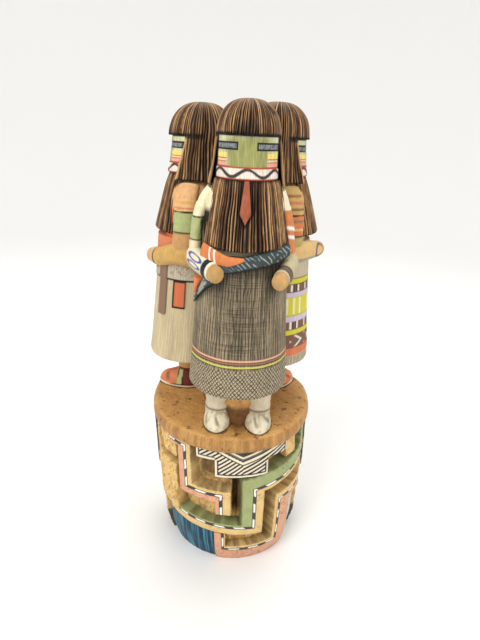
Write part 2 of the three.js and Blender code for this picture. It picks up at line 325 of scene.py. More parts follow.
def painted_wood(name, grain, speck, roughness, along, bump=0.25, specks=0.62, lined=False):
    """Matte paint on carved wood. The grain shows through by `grain`, and runs as the scale `along` says.
    Dirt as dark as `speck` lies where a noise is over `specks`. `lined` burns the mesh's lines in."""
    n = Nodes(name)
    where = n.attribute("Surf", "Vector")
    fibre = n.noise(where, along, 3, 0.6)
    colour = n.times(n.attribute("Paint"), n.ramp(fibre, 0.25, 0.75, 1 - grain, 1 + grain))
    height = fibre
    if lined:
        marks = all_burned_lines(n, where, n.node("SeparateColor", {"Color": n.attribute("Lines")}))
        colour = n.times(colour, n.ramp(marks, 0, 1, 0.12, 1))
        height = n.maths("ADD", n.maths("MULTIPLY", fibre, 0.4), n.maths("MULTIPLY", marks, 0.8))
    dirt = n.ramp(n.noise(where, (1.5, 1.5, 1.5), 4, 0.75), specks, specks + 0.07, 0.0, speck)
    dirty = n.node("Mix", {"Factor": dirt, "A": colour, "B": (0.03, 0.02, 0.012, 1)}, data_type="RGBA")
    relief = n.node("Bump", {"Height": height, "Strength": bump, "Distance": 0.3 * MM})
    n.set(n.shader.inputs["Base Color"], dirty["Result"])
    n.set(n.shader.inputs["Roughness"], n.ramp(fibre, 0.2, 0.8, roughness - 0.08, roughness + 0.1))
    n.set(n.shader.inputs["Specular IOR Level"], 0.3)
    n.set(n.shader.inputs["Normal"], relief[0])
    return n.material


MATERIALS = {
    "hair": painted_wood("carved_hair", 0.3, 0.5, 0.55, (2.4, 2.4, 0.3), bump=0.3),
    "mask": painted_wood("painted_mask", 0.26, 0.3, 0.6, (1.5, 1.5, 0.1)),
    "cloth": painted_wood("painted_dress", 0.1, 0.2, 0.72, (1.6, 1.6, 0.12), bump=0.5, lined=True),
    "skin": painted_wood("painted_limbs", 0.13, 0.25, 0.6, (0.9, 0.9, 0.3)),
    "band": painted_wood("painted_fret", 0.09, 0.3, 0.6, (1.0, 1.0, 0.15), specks=0.66),
    "raw": painted_wood("raw_root", 0.26, 0.5, 0.7, (0.9, 0.9, 0.5), bump=0.6, specks=0.57),
    "disc": painted_wood("stained_disc", 0.22, 0.6, 0.55, (1.1, 1.1, 0.5), 0.5, 0.58, lined=True),
    "blue": painted_wood("brushed_blue", 0.5, 0.3, 0.5, (1.5, 1.5, 0.05), bump=0.4),
}


# ---- Hair ----

HEM_Z = 25.5
WAIST_Z = 91
HAIR_END_Z = 124
CHIN_Z = 126.4
FRINGE_Z = 145
CROWN_Z = 160
CAP_X, CAP_Y = 14.5, 17

HAIR_DARK = rgb(78, 50, 32)
HAIR_LIGHT = rgb(210, 162, 108)
HAIR_CUT_SHADE = rgb(12, 8, 6)
LOCKS = 76  # all round a head
LOCK_DEPTH = 1.15


def locks(at, seed):
    """Carved locks side by side, one to each unit of `at`: how deep the cuts run, and each lock's tone."""
    at = at + 0.45 * noise(at * 0.6, seed=seed)
    lock = np.floor(at)
    across = np.abs(2 * (at - lock) - 1)
    deep = 0.72 + 0.28 * scatter(lock * 13 + seed)
    return smooth(across, 0.2, 0.82) * deep, scatter(lock * 31 + seed * 7 + 3)


def head_locks(a, z, seed):
    """The locks all round a head, wavering a little on their way down."""
    return locks(a / (2 * np.pi) * LOCKS + 0.35 * noise(a * 6, z * 0.12, seed=seed + 8), seed)


def hair_paint(cut, tone, a, z, seed):
    """Streaked hair, each lock of its own tone, with painted shade dark in the cuts."""
    streak = 0.3 * noise(a * 60, z * 0.3, seed=seed) + 0.2 * noise(a * 9, z * 0.12, seed=seed + 5)
    return over(
        HAIR_DARK,
        (HAIR_LIGHT, 0.34 + 0.45 * tone + streak),
        # painted shade, deepening into the cuts
        (HAIR_DARK * 0.6, smooth(cut, 0.04, 0.3) * 0.75),
        (HAIR_CUT_SHADE, smooth(cut, 0.25, 0.62) * 0.97),
    )


def hair_cap(figure):
    """The cap of hair over the head, its fringe cut straight and standing out over the face."""
    lift = np.radians(np.concatenate([[0, 0], np.linspace(2, 88, 22)]))
    reach = np.cos(lift) ** 0.75
    heights = FRINGE_Z + (CROWN_Z - FRINGE_Z) * np.sin(lift)
    reach[0], heights[1] = 0.84, FRINGE_Z + 0.1
    a, z = np.meshgrid(all_round(LOCKS * 7), heights)
    cut, tone = head_locks(a, z, figure.seed)
    fade = smooth(CROWN_Z - z, 0, 4)
    depth = LOCK_DEPTH * cut * (0.25 + 0.75 * fade) + 0.3 * noise(a * 7, z * 0.15, seed=figure.seed)
    rings = around(a, z, (CAP_X - depth) * reach[:, None], (CAP_Y - depth) * reach[:, None])
    paint = hair_paint(cut * (0.45 + 0.55 * fade), tone, a, z, figure.seed)
    # darker at the middle of the front, just above the fringe
    darker_front = np.exp(-((signed(a) + 0.15) / 0.35) ** 2) * fall(z, 147, 153)
    # painted shade along the fringe's lower edge, where it stands out over the face
    paint = burned(paint, fall(z, FRINGE_Z + 0.5, FRINGE_Z + 1.2) * figure.over_face(a), 0.75 * darker_front)
    for angle, height in figure.knots:
        paint = burned(paint, np.exp(-(((a - angle) * 9.5 / 1.5) ** 2) - ((z - height) / 1.1) ** 2))
    figure.carve("hair_cap", rings, paint, "hair")


def side_hair(figure):
    """The hair at the sides and back, cut square over the shoulders; its front edges stand off the mask."""
    ends = [HAIR_END_Z, HAIR_END_Z + 0.25]
    heights = np.concatenate([ends, np.linspace(HAIR_END_Z + 1, FRINGE_Z + 0.4, 18)])[:, None]
    up = (heights - HAIR_END_Z) / (FRINGE_Z - HAIR_END_Z)
    opening = np.radians(lerp(*figure.hair_opening, up))
    outside, inside = 440, 30
    across = np.concatenate([np.linspace(0, 1, outside), np.linspace(1, 0, inside)])
    out = np.repeat([1.0, 0.0], [outside, inside])
    a = opening + (2 * np.pi - 2 * opening) * across
    z = np.broadcast_to(heights, a.shape)
    cut, tone = head_locks(a, z, figure.seed)
    edge = np.minimum(a - opening, 2 * np.pi - opening - a)
    cut = cut * smooth(edge, 0.02, 0.07)
    depth = (LOCK_DEPTH * cut + 0.3 * noise(a * 7, z * 0.15, seed=figure.seed)) * out + (1 - out) * 1.1
    depth = depth + 0.3 * fall(z, HAIR_END_Z, HAIR_END_Z + 0.5)
    radius = lerp(18.0, CAP_X, np.clip(up, 0, 1) ** 0.75) - depth
    rings = around(a, z, radius, radius + lerp(2.2, CAP_Y - CAP_X, up))
    paint = hair_paint(cut, tone, a, z, figure.seed)
    paint = burned(paint, fall(z, HAIR_END_Z + 0.3, HAIR_END_Z + 1.0) * 0.9)
    # painted highlight along the front edges of the hair
    paint = over(paint, (HAIR_LIGHT, fall(edge, 0.03, 0.06) * 0.8))
    # painted shade under the fringe, and all over the inside, where the hair stands off the mask
    paint = burned(paint, smooth(z, FRINGE_Z - 1.8, FRINGE_Z - 0.4) * figure.over_face(a), 1 - out)
    figure.carve("side_hair", rings, paint, "hair")


# ---- Mask ----

MASK_RADIUS = 14
EYE_INNER, EYE_OUTER, EYE_LOW, EYE_HIGH = 4.1, 13.9, 138.9, 142.3
EYE_EDGE = 0.75
MOUTH_LOW, MOUTH_HIGH = 127.6, 131.7
WAVE_PERIOD = math.radians(56)
CHEEK_STRIPES = (
    (135.7, 137.9, rgb(236, 206, 112)),
    (134.4, 135.5, rgb(226, 190, 150)),
    (132.3, 134.3, rgb(222, 158, 132)),
)
CHEEK_LINES = ((135.35, 135.75, rgb(120, 70, 50)), (134.1, 134.4, rgb(120, 70, 50)))


def mask(figure):
    """The cylinder mask: eye slots, striped cheeks and a mouth band with a wave along it."""
    half = math.radians(96)
    columns, rows = figure.mask_grid
    heights = np.concatenate([[CHIN_Z], np.linspace(CHIN_Z + 0.25, FRINGE_Z + 1.5, rows)])
    a, z = np.meshgrid(np.linspace(-half, half, columns), heights)
    up = np.clip((z - CHIN_Z) / (FRINGE_Z - CHIN_Z), 0, 1)
    paint, groove = mask_paint(MASK_RADIUS * np.sin(a), a, z, figure)
    jut = 0.45 * within(z, MOUTH_LOW - 0.4, MOUTH_HIGH + 0.2, 0.25) - 0.8 * fall(z, CHIN_Z, CHIN_Z + 0.6)
    rings = around(a, z, lerp(14.1, 13.6, up) + jut - groove, lerp(16.9, 15.1, up**0.7) + jut - groove)
    behind = [[(12, 5, height), (0, 6, height), (-12, 5, height)] for height in heights]
    rings = np.concatenate([rings, behind], axis=1)
    paint = np.concatenate([paint, np.broadcast_to(BLACK, (len(heights), 3, 3))], axis=1)
    figure.carve("mask", rings, paint, "mask")


def mask_paint(x, a, z, figure):
    """The mask's paint, and how deep the eyes are pressed in."""
    pale = rgb(208, 208, 168)
    side = np.abs(x + 0.4)
    cheek = smooth(side, 8.7, 9.0)
    paint = over(rgb(146, 146, 88), (pale, smooth(np.abs(x), 6.5, 11.5) * 0.75))
    paint = over(paint, (pale, smooth(z, 142.5, 145) * 0.5))
    paint = mottle(paint, stack(x, 0, z * 0.15), 1.1, 0.2, figure.seed)
    paint = stripes(paint, z, CHEEK_STRIPES, strength=cheek)
    paint = stripes(paint, z, CHEEK_LINES, 0.08, cheek)
    slot = within(side, EYE_INNER, EYE_OUTER, 0.1) * within(z, EYE_LOW, EYE_HIGH, 0.08)
    inside = within(side, EYE_INNER + EYE_EDGE, EYE_OUTER - EYE_EDGE / 2)
    inside = inside * within(z, EYE_LOW + EYE_EDGE, EYE_HIGH - EYE_EDGE, 0.08)
    marks = 0.5 + 0.5 * noise(x * 3, z * 1.5, seed=figure.seed + 2)
    grey = over(rgb(70, 74, 74), (rgb(150, 154, 150), marks))
    paint = over(paint, (BLACK, slot), (grey, inside))
    paint = mouth_paint(paint, x, a, z, figure.seed)
    # burned black beside the hair, with painted shade in the gap there too, and painted shade under the
    # fringe
    paint = burned(paint, smooth(from_front(a), figure.mask_end, figure.mask_end + 2))
    paint = burned(paint, smooth(z, FRINGE_Z - 0.55, FRINGE_Z - 0.25))
    return paint, 0.25 * np.clip(slot - inside, 0, 1) + 0.12 * inside


def mouth_paint(paint, x, a, z, seed):
    """The mouth band: a dark wave on pale paint, between red lines and over a burned ledge."""
    turn = 2 * np.pi * a / WAVE_PERIOD
    wave = (MOUTH_LOW + MOUTH_HIGH) / 2 + 0.1 + 1.55 * np.cos(turn)
    off = np.abs(z - wave) / np.sqrt(1 + (0.55 * np.sin(turn)) ** 2)
    thick = 0.62 + 0.14 * noise(a * 6, seed=seed)
    beside_nose = smooth(np.abs(x + 0.4), 6, 9)
    return over(
        paint,
        (mottle(rgb(226, 210, 196), stack(x, 0, z), 1.2, 0.07, seed), within(z, MOUTH_LOW, MOUTH_HIGH)),
        (rgb(196, 188, 178), fall(off, thick + 0.1, thick + 0.55)),
        (rgb(58, 52, 48), fall(off, thick - 0.1, thick + 0.12)),
        (RUST, within(z, MOUTH_HIGH, MOUTH_HIGH + 0.65)),
        (BLACK, within(z, MOUTH_HIGH + 0.6, MOUTH_HIGH + 0.8, 0.1) * beside_nose * 0.7),
        (RUST, within(z, MOUTH_LOW - 0.6, MOUTH_LOW)),
        (BLACK, fall(z, MOUTH_LOW - 0.75, MOUTH_LOW - 0.5)),
    )


# ---- Beard ----

BEARD_HALF = math.radians(76)
BEARD_END = 96.9
BEARD_LOCKS = 34
TONGUE_WIDEST, TONGUE_TIP = 113, 108.7


def beard_depth(figure, drop):
    """How far the beard stands forward of the figure's axis, `drop` from 0 at the chin to 1 at its end."""
    return 15.9 + figure.beard_flare * drop**0.9


def tongue_half(z):
    """Half the width of the tongue at a height: it widens downwards, and then comes to a point."""
    wide = lerp(1.15, 2.6, np.clip((CHIN_Z - z) / (CHIN_Z - TONGUE_WIDEST), 0, 1))
    point = 2.6 * np.clip((z - TONGUE_TIP) / (TONGUE_WIDEST - TONGUE_TIP), 0, 1)
    return np.where(z > TONGUE_WIDEST, wide, point)


def beard(figure):
    """The wide fluted beard that hangs from the mask over the chest."""
    outer = np.linspace(-BEARD_HALF, BEARD_HALF, BEARD_LOCKS * 10)
    inner = outer[::-12]
    out = np.repeat([1, 0], [len(outer), len(inner)])
    rise = np.concatenate([[0, 0.008], np.linspace(0.03, 1, 24)])
    a, w = np.meshgrid(np.concatenate([outer, inner]), rise)
    drop = 1 - w
    end = BEARD_END + np.where(a < 0, *figure.beard_rise) * np.sin(a) ** 2
    z = lerp(end, CHIN_Z + 0.5, w)
    waver = 0.4 * noise(a * 6, z * 0.1, seed=figure.seed + 6)
    cut, tone = locks((a + BEARD_HALF) / (2 * BEARD_HALF) * BEARD_LOCKS + waver, figure.seed + 9)
    cut = cut * (0.55 + 0.45 * smooth(drop, 0, 0.25))
    depth = 1.45 * cut + 0.3 * noise(a * 5, z * 0.1, seed=figure.seed + 2) + 0.6 * fall(w, 0.0, 0.02)
    rx = lerp(15.3, np.where(a < 0, *figure.beard_reach), drop**0.8)
    ry = beard_depth(figure, drop)
    rings = around(a, z, np.where(out, rx - depth, 0.5 * rx), np.where(out, ry - depth, 0.5 * ry))
    x, half = rings[..., 0], tongue_half(z)
    paint = burned(
        hair_paint(cut, tone + 0.15, a, z, figure.seed + 9),
        0.5 * np.exp(-((x / 6.5) ** 2)) * smooth(z, 96, 104),
        fall(np.abs(x), half + 0.9, half + 1.5) * smooth(z, 107.2, 108.0),
        fall(w, 0.01, 0.03) * 0.8,
        smooth(w, 0.965, 0.985) * 0.8,
    )
    figure.carve("beard", rings, paint, "hair")


def tongue(figure):
    """The long red tongue, a pointed tab on the beard."""
    heights = np.linspace(TONGUE_TIP + 0.05, CHIN_Z + 0.3, 40)[:, None]
    across = np.array([-1, -0.96, -0.86, -0.45, 0, 0.45, 0.86, 0.96, 1])
    proud = np.array([-1.5, 0.15, 0.42, 0.5, 0.52, 0.5, 0.42, 0.15, -1.5])
    drop = np.clip((CHIN_Z - heights) / (CHIN_Z - BEARD_END), 0, 1)
    x = np.maximum(tongue_half(heights), 0.12) * across
    rings = stack(x, 0.012 * x**2 - beard_depth(figure, drop) - proud, heights)
    paint = mottle(rgb(156, 84, 56), rings, 2.5, 0.16, figure.seed)
    paint = over(paint, (rgb(120, 58, 36), smooth(np.abs(across), 0.86, 0.97) * 0.6))
    figure.carve("tongue", rings, paint, "mask")


# ---- Body ----

FOOT_HALF = 7.1  # half a moccasin's width
HEEL = 8  # how far its heel lies behind the figure's axis
DRESS_RADIUS = 23  # between its waist and its hem


def trunk(figure):
    """The trunk from the waist to the sloping shoulders, in the colours of its sleeves and shawl."""
    levels = [WAIST_Z - 1.5, 108, 116, 119.5, 122.5, 124.5, 125.3]
    a, z = np.meshgrid(all_round(100), np.linspace(levels[0], levels[-1], 30))
    wide = np.interp(z, levels, [19.5, 19.6, 19, 18, 16, 13, 9])
    deep = np.interp(z, levels, [17.5, 15.5, 14.6, 13.8, 12.4, 10.4, 7])
    rings = around(a, z, wide, deep)
    paint = mottle(figure.trunk_paint(signed(a), z), rings, 3, 0.1, figure.seed)
    figure.carve("trunk", rings, paint, "skin")


def tube(figure, name, points, section, paint_at, grid, kind="skin", up=(0, 0, 1)):
    """A limb along a smooth curve through `points`; section(t) gives its half width and half height there,
    and `grid` how many rings it has and how many points a ring."""
    t = np.linspace(0, 1, grid[0])
    turn = all_round(grid[1])
    centre = catmull(np.array(points, float), t)
    along = unit(np.gradient(centre, axis=0))
    side = unit(np.cross(along, up))
    rise = np.cross(side, along)
    width, height = section(t)
    rings = centre[:, None] + side[:, None] * (width[:, None] * np.cos(turn))[..., None]
    rings = rings + rise[:, None] * (height[:, None] * np.sin(turn))[..., None]
    paint = mottle(paint_at(t[:, None], turn[None], rings), rings, 2.2, 0.1, figure.seed)
    figure.carve(name, rings, paint, kind)


def tapering(wide, wide_end, high, high_end):
    """The section of a tube whose half width and half height change evenly along it."""
    return lambda t: (lerp(wide, wide_end, t), lerp(high, high_end, t))


def unit(vectors):
    """Vectors in a list, each made one long."""
    return vectors / np.linalg.norm(vectors, axis=1, keepdims=True)


def catmull(points, t):
    """A smooth curve through the points, at the parts t of the way."""
    ends = np.concatenate([[2 * points[0] - points[1]], points, [2 * points[-1] - points[-2]]])
    at = np.clip(t * (len(points) - 1), 0, len(points) - 1 - 1e-9)
    i = at.astype(int)
    f = (at - i)[:, None]
    p0, p1, p2, p3 = (ends[i + k] for k in range(4))
    bend = (2 * p0 - 5 * p1 + 4 * p2 - p3) * f**2 + (3 * p1 - p0 - 3 * p2 + p3) * f**3
    return 0.5 * (2 * p1 + (p2 - p0) * f + bend)


def sleeve_paint(colours, rings):
    """The sleeve of an upper arm, with its armband and the skin or cuff below."""
    x, y, z = np.moveaxis(rings, -1, 0)
    paint = over(colours["sleeve"], (colours["armband"], within(z, 98.4, 108.6)))
    paint = over(paint, (colours["elbow"], fall(z, 97.6, 98.0)))
    if "bars" in colours:
        paint = over(paint, (ORANGE, fall(z, 113.4, 113.8)))
        bars = [(middle - 0.8, middle + 0.8, WHITE) for middle in colours["bars"]]
        return over(stripes(paint, z + 0.25 * y, bars, 0.2), (rgb(206, 196, 164), fall(z, 93, 93.6)))
    paint = stripes(paint, z, colours.get("stripes", ()), 0.15)
    paint = burned(paint, *[within(z, line - 0.35, line + 0.35, 0.1) for line in (98.0, 108.8)])
    # painted shade on the arm's inner side, where it faces the beard and body
    return burned(paint, colours.get("shaded_inside", 0) * smooth(np.abs(x), 20.6, 20.0) * fall(z, 107, 111))


def arm(figure, side, fist, colours):
    """An arm from shoulder to fist. `colours` gives its sleeve, armband, elbow, forearm and hand, and if the
    sleeve has them its stripes, the heights of its bars, or how darkly its inner side is painted in shade."""

    def upper_section(t):
        bulge = 0.35 * within(lerp(121.5, 88, t), 98, 108.7, 0.4)
        return lerp(2.7, 3.5, t) + bulge, lerp(5.3, 6.0, t) + bulge

    def upper_paint(t, turn, rings):
        return sleeve_paint(colours, rings)

    tuck = figure.arm_tuck[side > 0]
    bend = ((15.5, 0.5, 121.5), (19.5 - tuck, 0.5, 115.5), (22.2 - tuck, 1, 104), (23.3 - tuck / 2, 1, 88))
    points = [(side * x, y, z) for x, y, z in bend]
    name = f"upper_arm_{SIDES[side]}"
    tube(figure, name, points, upper_section, upper_paint, (80, 32), up=(0, -1, 0))
    front = (side * lerp(21.5, abs(fist[0]), 0.45), -13.5, fist[2] + 1)
    elbow_z = lerp(fist[2], WAIST_Z, 0.5)
    points = [(side * 22.6, 5.5, elbow_z), (side * 22.4, -3, elbow_z), front, fist]
    section = tapering(4.5, 3.8, 6.2, 4.4)
    tube(figure, f"forearm_{SIDES[side]}", points, section, colours["forearm"], figure.forearm_grid)
    hand(figure, side, fist, front, colours["hand"])


def hand(figure, side, fist, front, colour):
    """The fist: a short round peg with a blunt end."""
    fist = np.array(fist, float)
    (ahead,) = unit(fist[None] - front)
    points = [fist - ahead * 2, fist, fist + ahead * 2.2, fist + ahead * 4.2]

    def paint_at(t, turn, rings):
        ringed = 0.5 + 0.5 * np.cos(9 * t + 2 * np.sin(turn))
        return over(colour, (colour * 0.72, ringed * 0.25 * smooth(t, 0.8, 1)))

    def section(t):
        end = np.clip((t - 0.78) / 0.22, 0, 1)
        swell = (1 + 0.08 * np.sin(np.pi * t)) * np.sqrt(1 - 0.75 * end**2.5)
        return 3.35 * swell, 3.7 * swell

    tube(figure, f"fist_{SIDES[side]}", points, section, paint_at, (26, 30))


def dress(figure):
    """The dress, widening evenly to its hem, with the cloth's lines burned into it."""
    columns, rows = figure.dress_grid
    heights = np.concatenate([[HEM_Z + 1.0, HEM_Z], np.linspace(HEM_Z + 0.4, WAIST_Z + 3, rows)])
    a, z = np.meshgrid(all_round(columns), heights)
    arc = signed(a) * DRESS_RADIUS
    up = np.clip((z - HEM_Z) / (WAIST_Z - HEM_Z), 0, 1)
    radius = lerp(25.2, 21.4, up**0.85) - 0.5 * fall(z, HEM_Z, HEM_Z + 0.9)
    radius[0] -= 3
    paint, lines, relief = figure.dress_paint(np.degrees(signed(a)), z, arc)
    radius = radius + figure.dress_room + relief + 0.18 * noise(a * 6, z * 0.05, seed=figure.seed)
    surf = stack(arc, figure.seed * 11.0, z)
    figure.carve("dress", around(a, z, radius, radius), paint, "cloth", lines=lines, surf=surf)


def leg(figure, side):
    """A leg down to its ankle."""
    a, z = np.meshgrid(all_round(48), np.linspace(2, HEM_Z + 1.5, 40))
    thin = 1 - 0.1 * within(z, 11.5, 13, 1.2) + 0.03 * noise(a * 2, z * 0.4, seed=figure.seed + side)
    rings = around(a, z, figure.ankle_width * thin, (figure.ankle_width + 0.4) * thin)
    rings = rings + (figure.foot_x(side), -0.6, 0)
    paint = figure.leg_paint(rings[..., 1], z)
    figure.carve(f"leg_{SIDES[side]}", rings, paint, "skin", figure.feet_facing)


def moccasin(figure, side, toe):
    """A moccasin, creased across its toe."""
    a, l = np.meshgrid(all_round(84), np.radians(np.linspace(-24, 88, 28)))
    length = (toe + HEEL) / 2
    forward = np.cos(a)
    reach = np.cos(l) ** 0.6
    high = lerp(*figure.instep, smooth(forward, -0.3, 0.9))
    crease = 0.35 * within(np.sin(5 * a + 3 * l + side), 0.75, 1.5, 0.2)
    crease = crease * smooth(forward, 0.0, 0.5) * within(l, 0.4, 1.1, 0.2)
    x = (FOOT_HALF - crease) * np.sin(a) * reach * (1 - 0.1 * smooth(forward, 0.5, 1.0))
    y = -toe + length - (length - crease) * forward * reach
    z = np.where(l > 0, (high - crease) * np.sin(l), 4 * np.sin(l))
    rings = stack(figure.foot_x(side) + x, y, z)
    # painted shade in the creases
    paint = burned(figure.foot_paint(a, x, y, z), crease * 1.6)
    figure.carve(f"moccasin_{SIDES[side]}", rings, paint, "skin", figure.feet_facing)


def soled(paint, z, sole):
    """A moccasin's pale sole, with a burned line over it and another on the ground."""
    paint = over(paint, (sole, fall(z, 1.5, 1.8)))
    return burned(paint, within(z, 1.7, 2.1, 0.1), fall(z, 0.3, 0.6))


def mound(figure):
    """The wood left rough and uncut between the legs."""
    a, z = np.meshgrid(all_round(70), np.linspace(-2, HEM_Z + 3, 30))
    rough = 0.8 * noise(a * 3, z * 0.4, seed=figure.seed + 80)
    rough = rough + 0.35 * noise(a * 11, z * 1.2, seed=figure.seed + 81)
    rings = around(a, z, 9 + rough, 7.5 + rough) + (figure.feet_shift, 0.5, 0)
    paint = mottle(rgb(196, 146, 84), rings, 2, 0.2, figure.seed)
    # painted shadow over its lower part
    paint = over(paint, (rgb(90, 54, 28), smooth(0.5 * rough + 13 - z, 1, 4) * 0.85))
    figure.carve("uncut_wood", rings, paint, "raw")


# ---- The three figures ----


class Figure:
    """One of the three: where it stands, which way it looks, and how it is painted."""

    lean = (0.0, 0.0)  # how far the crown stands off the feet
    levels = (0, 160)  # heights in the figure's own frame, and what they become
    levels_become = (0, 160)
    facing = 0.0
    feet_facing = 0.0
    ankle_width = 6.5
    instep = (12.0, 9.0)  # the moccasins' height behind and ahead
    beard_reach = (19.8, 19.8)
    beard_flare = 7.4
    hair_opening = (74, 86)  # degrees from the front, at the shoulders and under the fringe
    fringe_end = 100
    knots = ()  # dark knots in the cap of hair, by angle and height
    arm_tuck = (0.0, 0.0)
    mask_grid = (180, 66)  # columns and rows of the finer meshes
    dress_grid = (220, 120)
    forearm_grid = (60, 44)
    dress_room = -0.8

    def place(self, points, facing=None):
        """From the figure's own frame to the carving's."""
        x, y, z = np.moveaxis(points, -1, 0)
        z = np.where(z < 0, z, np.interp(z, self.levels, self.levels_become))
        x, y = turned(x, y, self.facing if facing is None else facing)
        x = x + self.foot[0] + self.lean[0] * z / CROWN_Z
        y = y + self.foot[1] + self.lean[1] * z / CROWN_Z
        return stack(x, y, z + DISC_TOP)

    def carve(self, part, rings, paint, kind, facing=None, lines=0.0, surf=None):
        """Makes a part of the figure. Its grain is read in the figure's own frame, moved on by the seed so
        that no two figures are alike."""
        if surf is None:
            surf = rings + np.array([self.seed * 37.0, 0, self.seed * 17.0])
        name = f"{self.name}_{part}"
        loft(name, self.place(rings, facing), paint, MATERIALS[kind], lines, surf)

    def over_face(self, a):
        """1 at the angles where the hair is cut to a fringe, and 0 where it hangs to the shoulders."""
        return fall(from_front(a), self.fringe_end - 6, self.fringe_end)

    def foot_x(self, side):
        return side * self.feet_apart + self.feet_shift

    def build(self):
        for part in (hair_cap, side_hair, mask, beard, tongue, trunk, dress, mound):
            part(self)
        for side, fist, toe, colours in zip(SIDES, self.fists, self.toes, self.arm_colours()):
            arm(self, side, fist, colours)
            leg(self, side)
            moccasin(self, side, toe)
        self.dressing()

    def dressing(self):
        """What only one figure wears."""


class FrontFigure(Figure):
    name = "front"
    seed = 1
    foot = (2.5, -24.9)
    beard_reach = (19.6, 21.8)
    beard_rise = (0.6, 1.6)
    mask_end = 69
    feet_shift = 1.2
    knots = ((0.87, 156.4), (1.02, 154.6))
    feet_apart = 11.0
    mask_grid = (260, 84)
    dress_grid = (150, 150)
    forearm_grid = (110, 84)
    dress_room = 0.0
    arm_tuck = (0.4, 2.0)
    toes = (15.3, 15.3)
    instep = (9.4, 8.6)
    fists = ((-12.8, -21.6, 87.2), (17.4, -19.8, 84.8))
    hem_stripes = (
        (45.0, 46.0, rgb(216, 166, 138)),
        (43.5, 44.6, rgb(150, 104, 80)),
        (41.6, 42.8, rgb(196, 190, 92)),
    )

    def trunk_paint(self, a, z):
        paint = over(rgb(226, 216, 176), (ORANGE, smooth(a, 0.5, 0.6) * fall(z, 113.5, 114.2)))
        # painted shade at the left side below the shoulder, between the arm and the beard
        return burned(paint, smooth(-a, 0.9, 1.0) * fall(-a, 1.3, 1.4) * fall(z, 112, 114))

    def arm_colours(self):
        def left_forearm(t, turn, rings):
            loops = []
            for middle, wide in ((0.62, 0.34), (-0.08, 0.26)):
                loop = np.sqrt(((t - 0.56) / 0.22) ** 2 + ((signed(turn) - middle) / wide) ** 2)
                loops.append((rgb(58, 74, 158), within(loop, 0.62, 1.0, 0.1)))
            shade = 0.5 * fall(np.sin(turn), -0.7, 0.2)
            cuff = within(t, 0.8, 0.93, 0.01)
            return over(rgb(226, 216, 182), (rgb(150, 132, 96), shade), *loops, (rgb(24, 26, 40), cuff))

        def right_forearm(t, turn, rings):
            shade = 0.5 * fall(np.sin(turn), -0.6, 0.4)
            cuff = within(t, 0.72, 0.9, 0.01)
            paint = over(rgb(188, 176, 138), (rgb(120, 108, 80), shade), (rgb(104, 84, 72), cuff))
            return burned(paint, within(t, 0.7, 0.73, 0.006) + within(t, 0.89, 0.92, 0.006))

        left = {
            "sleeve": rgb(230, 220, 180),
            "armband": rgb(168, 174, 120),
            "elbow": rgb(224, 210, 172),
            "forearm": left_forearm,
            "hand": rgb(182, 144, 88),
            "shaded_inside": 0.92,
        }
        right = {
            "sleeve": CREAM,
            "armband": ORANGE,
            "elbow": ORANGE,
            "forearm": right_forearm,
            "hand": rgb(190, 148, 94),
            "bars": (104.4, 100.3),
        }
        return left, right

    def dress_paint(self, degrees, z, arc):
        hem = fall(z, 40.2, 40.6)
        centre = np.exp(-((arc / 9) ** 2)) * smooth(z, 44, 52)
        paint = mottle(rgb(168, 150, 120), stack(arc, 0, z * 0.2), 5, 0.12, self.seed)
        paint = over(paint, (rgb(176, 160, 132), hem)) * (1 - 0.3 * centre)[..., None]
        # painted shade across the top under the sash, and round the hands
        paint = burned(paint, 0.8 * smooth(z, 82, 91))
        for hand_arc, hand_z in ((-11, 83), (16, 82)):
            off = ((arc - hand_arc) / 5.5) ** 2 + ((z - hand_z) / 8) ** 2
            paint = burned(paint, 0.75 * np.exp(-off))
        paint = stripes(paint, z, self.hem_stripes, 0.1)
        borders = [within(z, line - 0.2, line + 0.2, 0.1) for line in (46.2, 44.8, 43.2, 41.3)]
        paint = burned(paint, *[0.85 * border for border in borders])
        lines = stack(0.9 * (1 - hem), hem, 0.2 + 0.5 * centre * (1 - hem))
        for low, high, _ in self.hem_stripes:
            lines = lines * (1 - within(z, low, high, 0.1))[..., None]
        return paint, lines, 0.15 * within(z, 41.3, 46.0, 0.2)

    def leg_paint(self, y, z):
        return over(
            rgb(206, 190, 164),
            # painted shade towards the top, under the dress's hem
            (rgb(150, 106, 72), 0.55 * smooth(z, 15, 24)),
            (rgb(60, 44, 32), 0.85 * within(z, 8.6, 9.6, 0.5)),
        )

    def foot_paint(self, a, x, y, z):
        worn = smooth(noise(x * 0.8, (y + self.toes[0]) * 0.6, z * 0.6, seed=9), 0.1, 0.5)
        return burned(over(rgb(222, 212, 184), (rgb(180, 164, 126), 0.6 * worn)), fall(z, 0.35, 0.8))

    def dressing(self):
        """The woven sash, its pointed end under the left hand, and the shawl under the beard and arm."""
        path = [(-14, -20.4, 88), (-8, -21.6, 89.6), (-2, -22.3, 91.4)]
        path += [(6, -21.4, 93.2), (14, -17.9, 94.8), (20.5, -10, 97)]
        tube(self, "sash", path, sash_section, sash_paint, (170, 44), "cloth")
        path = [(-13, -21.5, 85), (-17, -17.6, 80.2), (-20.6, -12, 74), (-22.6, -6.5, 69)]
        tube(self, "sash_end", path, tapering(1.9, 0.6, 3.0, 0.5), sash_end_paint, (60, 32), "cloth")
        path = [(-18.4, -12.6, 94.0), (-13.5, -18.2, 93.0), (-7, -21.8, 92.4), (0.5, -22.6, 94.0)]
        tube(self, "shawl", path, shawl_section, shawl_paint, (90, 40))
        path = [(-20.3, -10, 82), (-21.4, -8.6, 78), (-22.4, -7, 73.5)]
        corner = rgb(222, 128, 78)
        tube(self, "shawl_corner", path, tapering(2.2, 0.4, 2.4, 0.5), lambda *_: corner, (30, 24))


def sash_section(t):
    return 1.3 + 0 * t, lerp(2.0, 3.3, smooth(t, 0.0, 0.45))


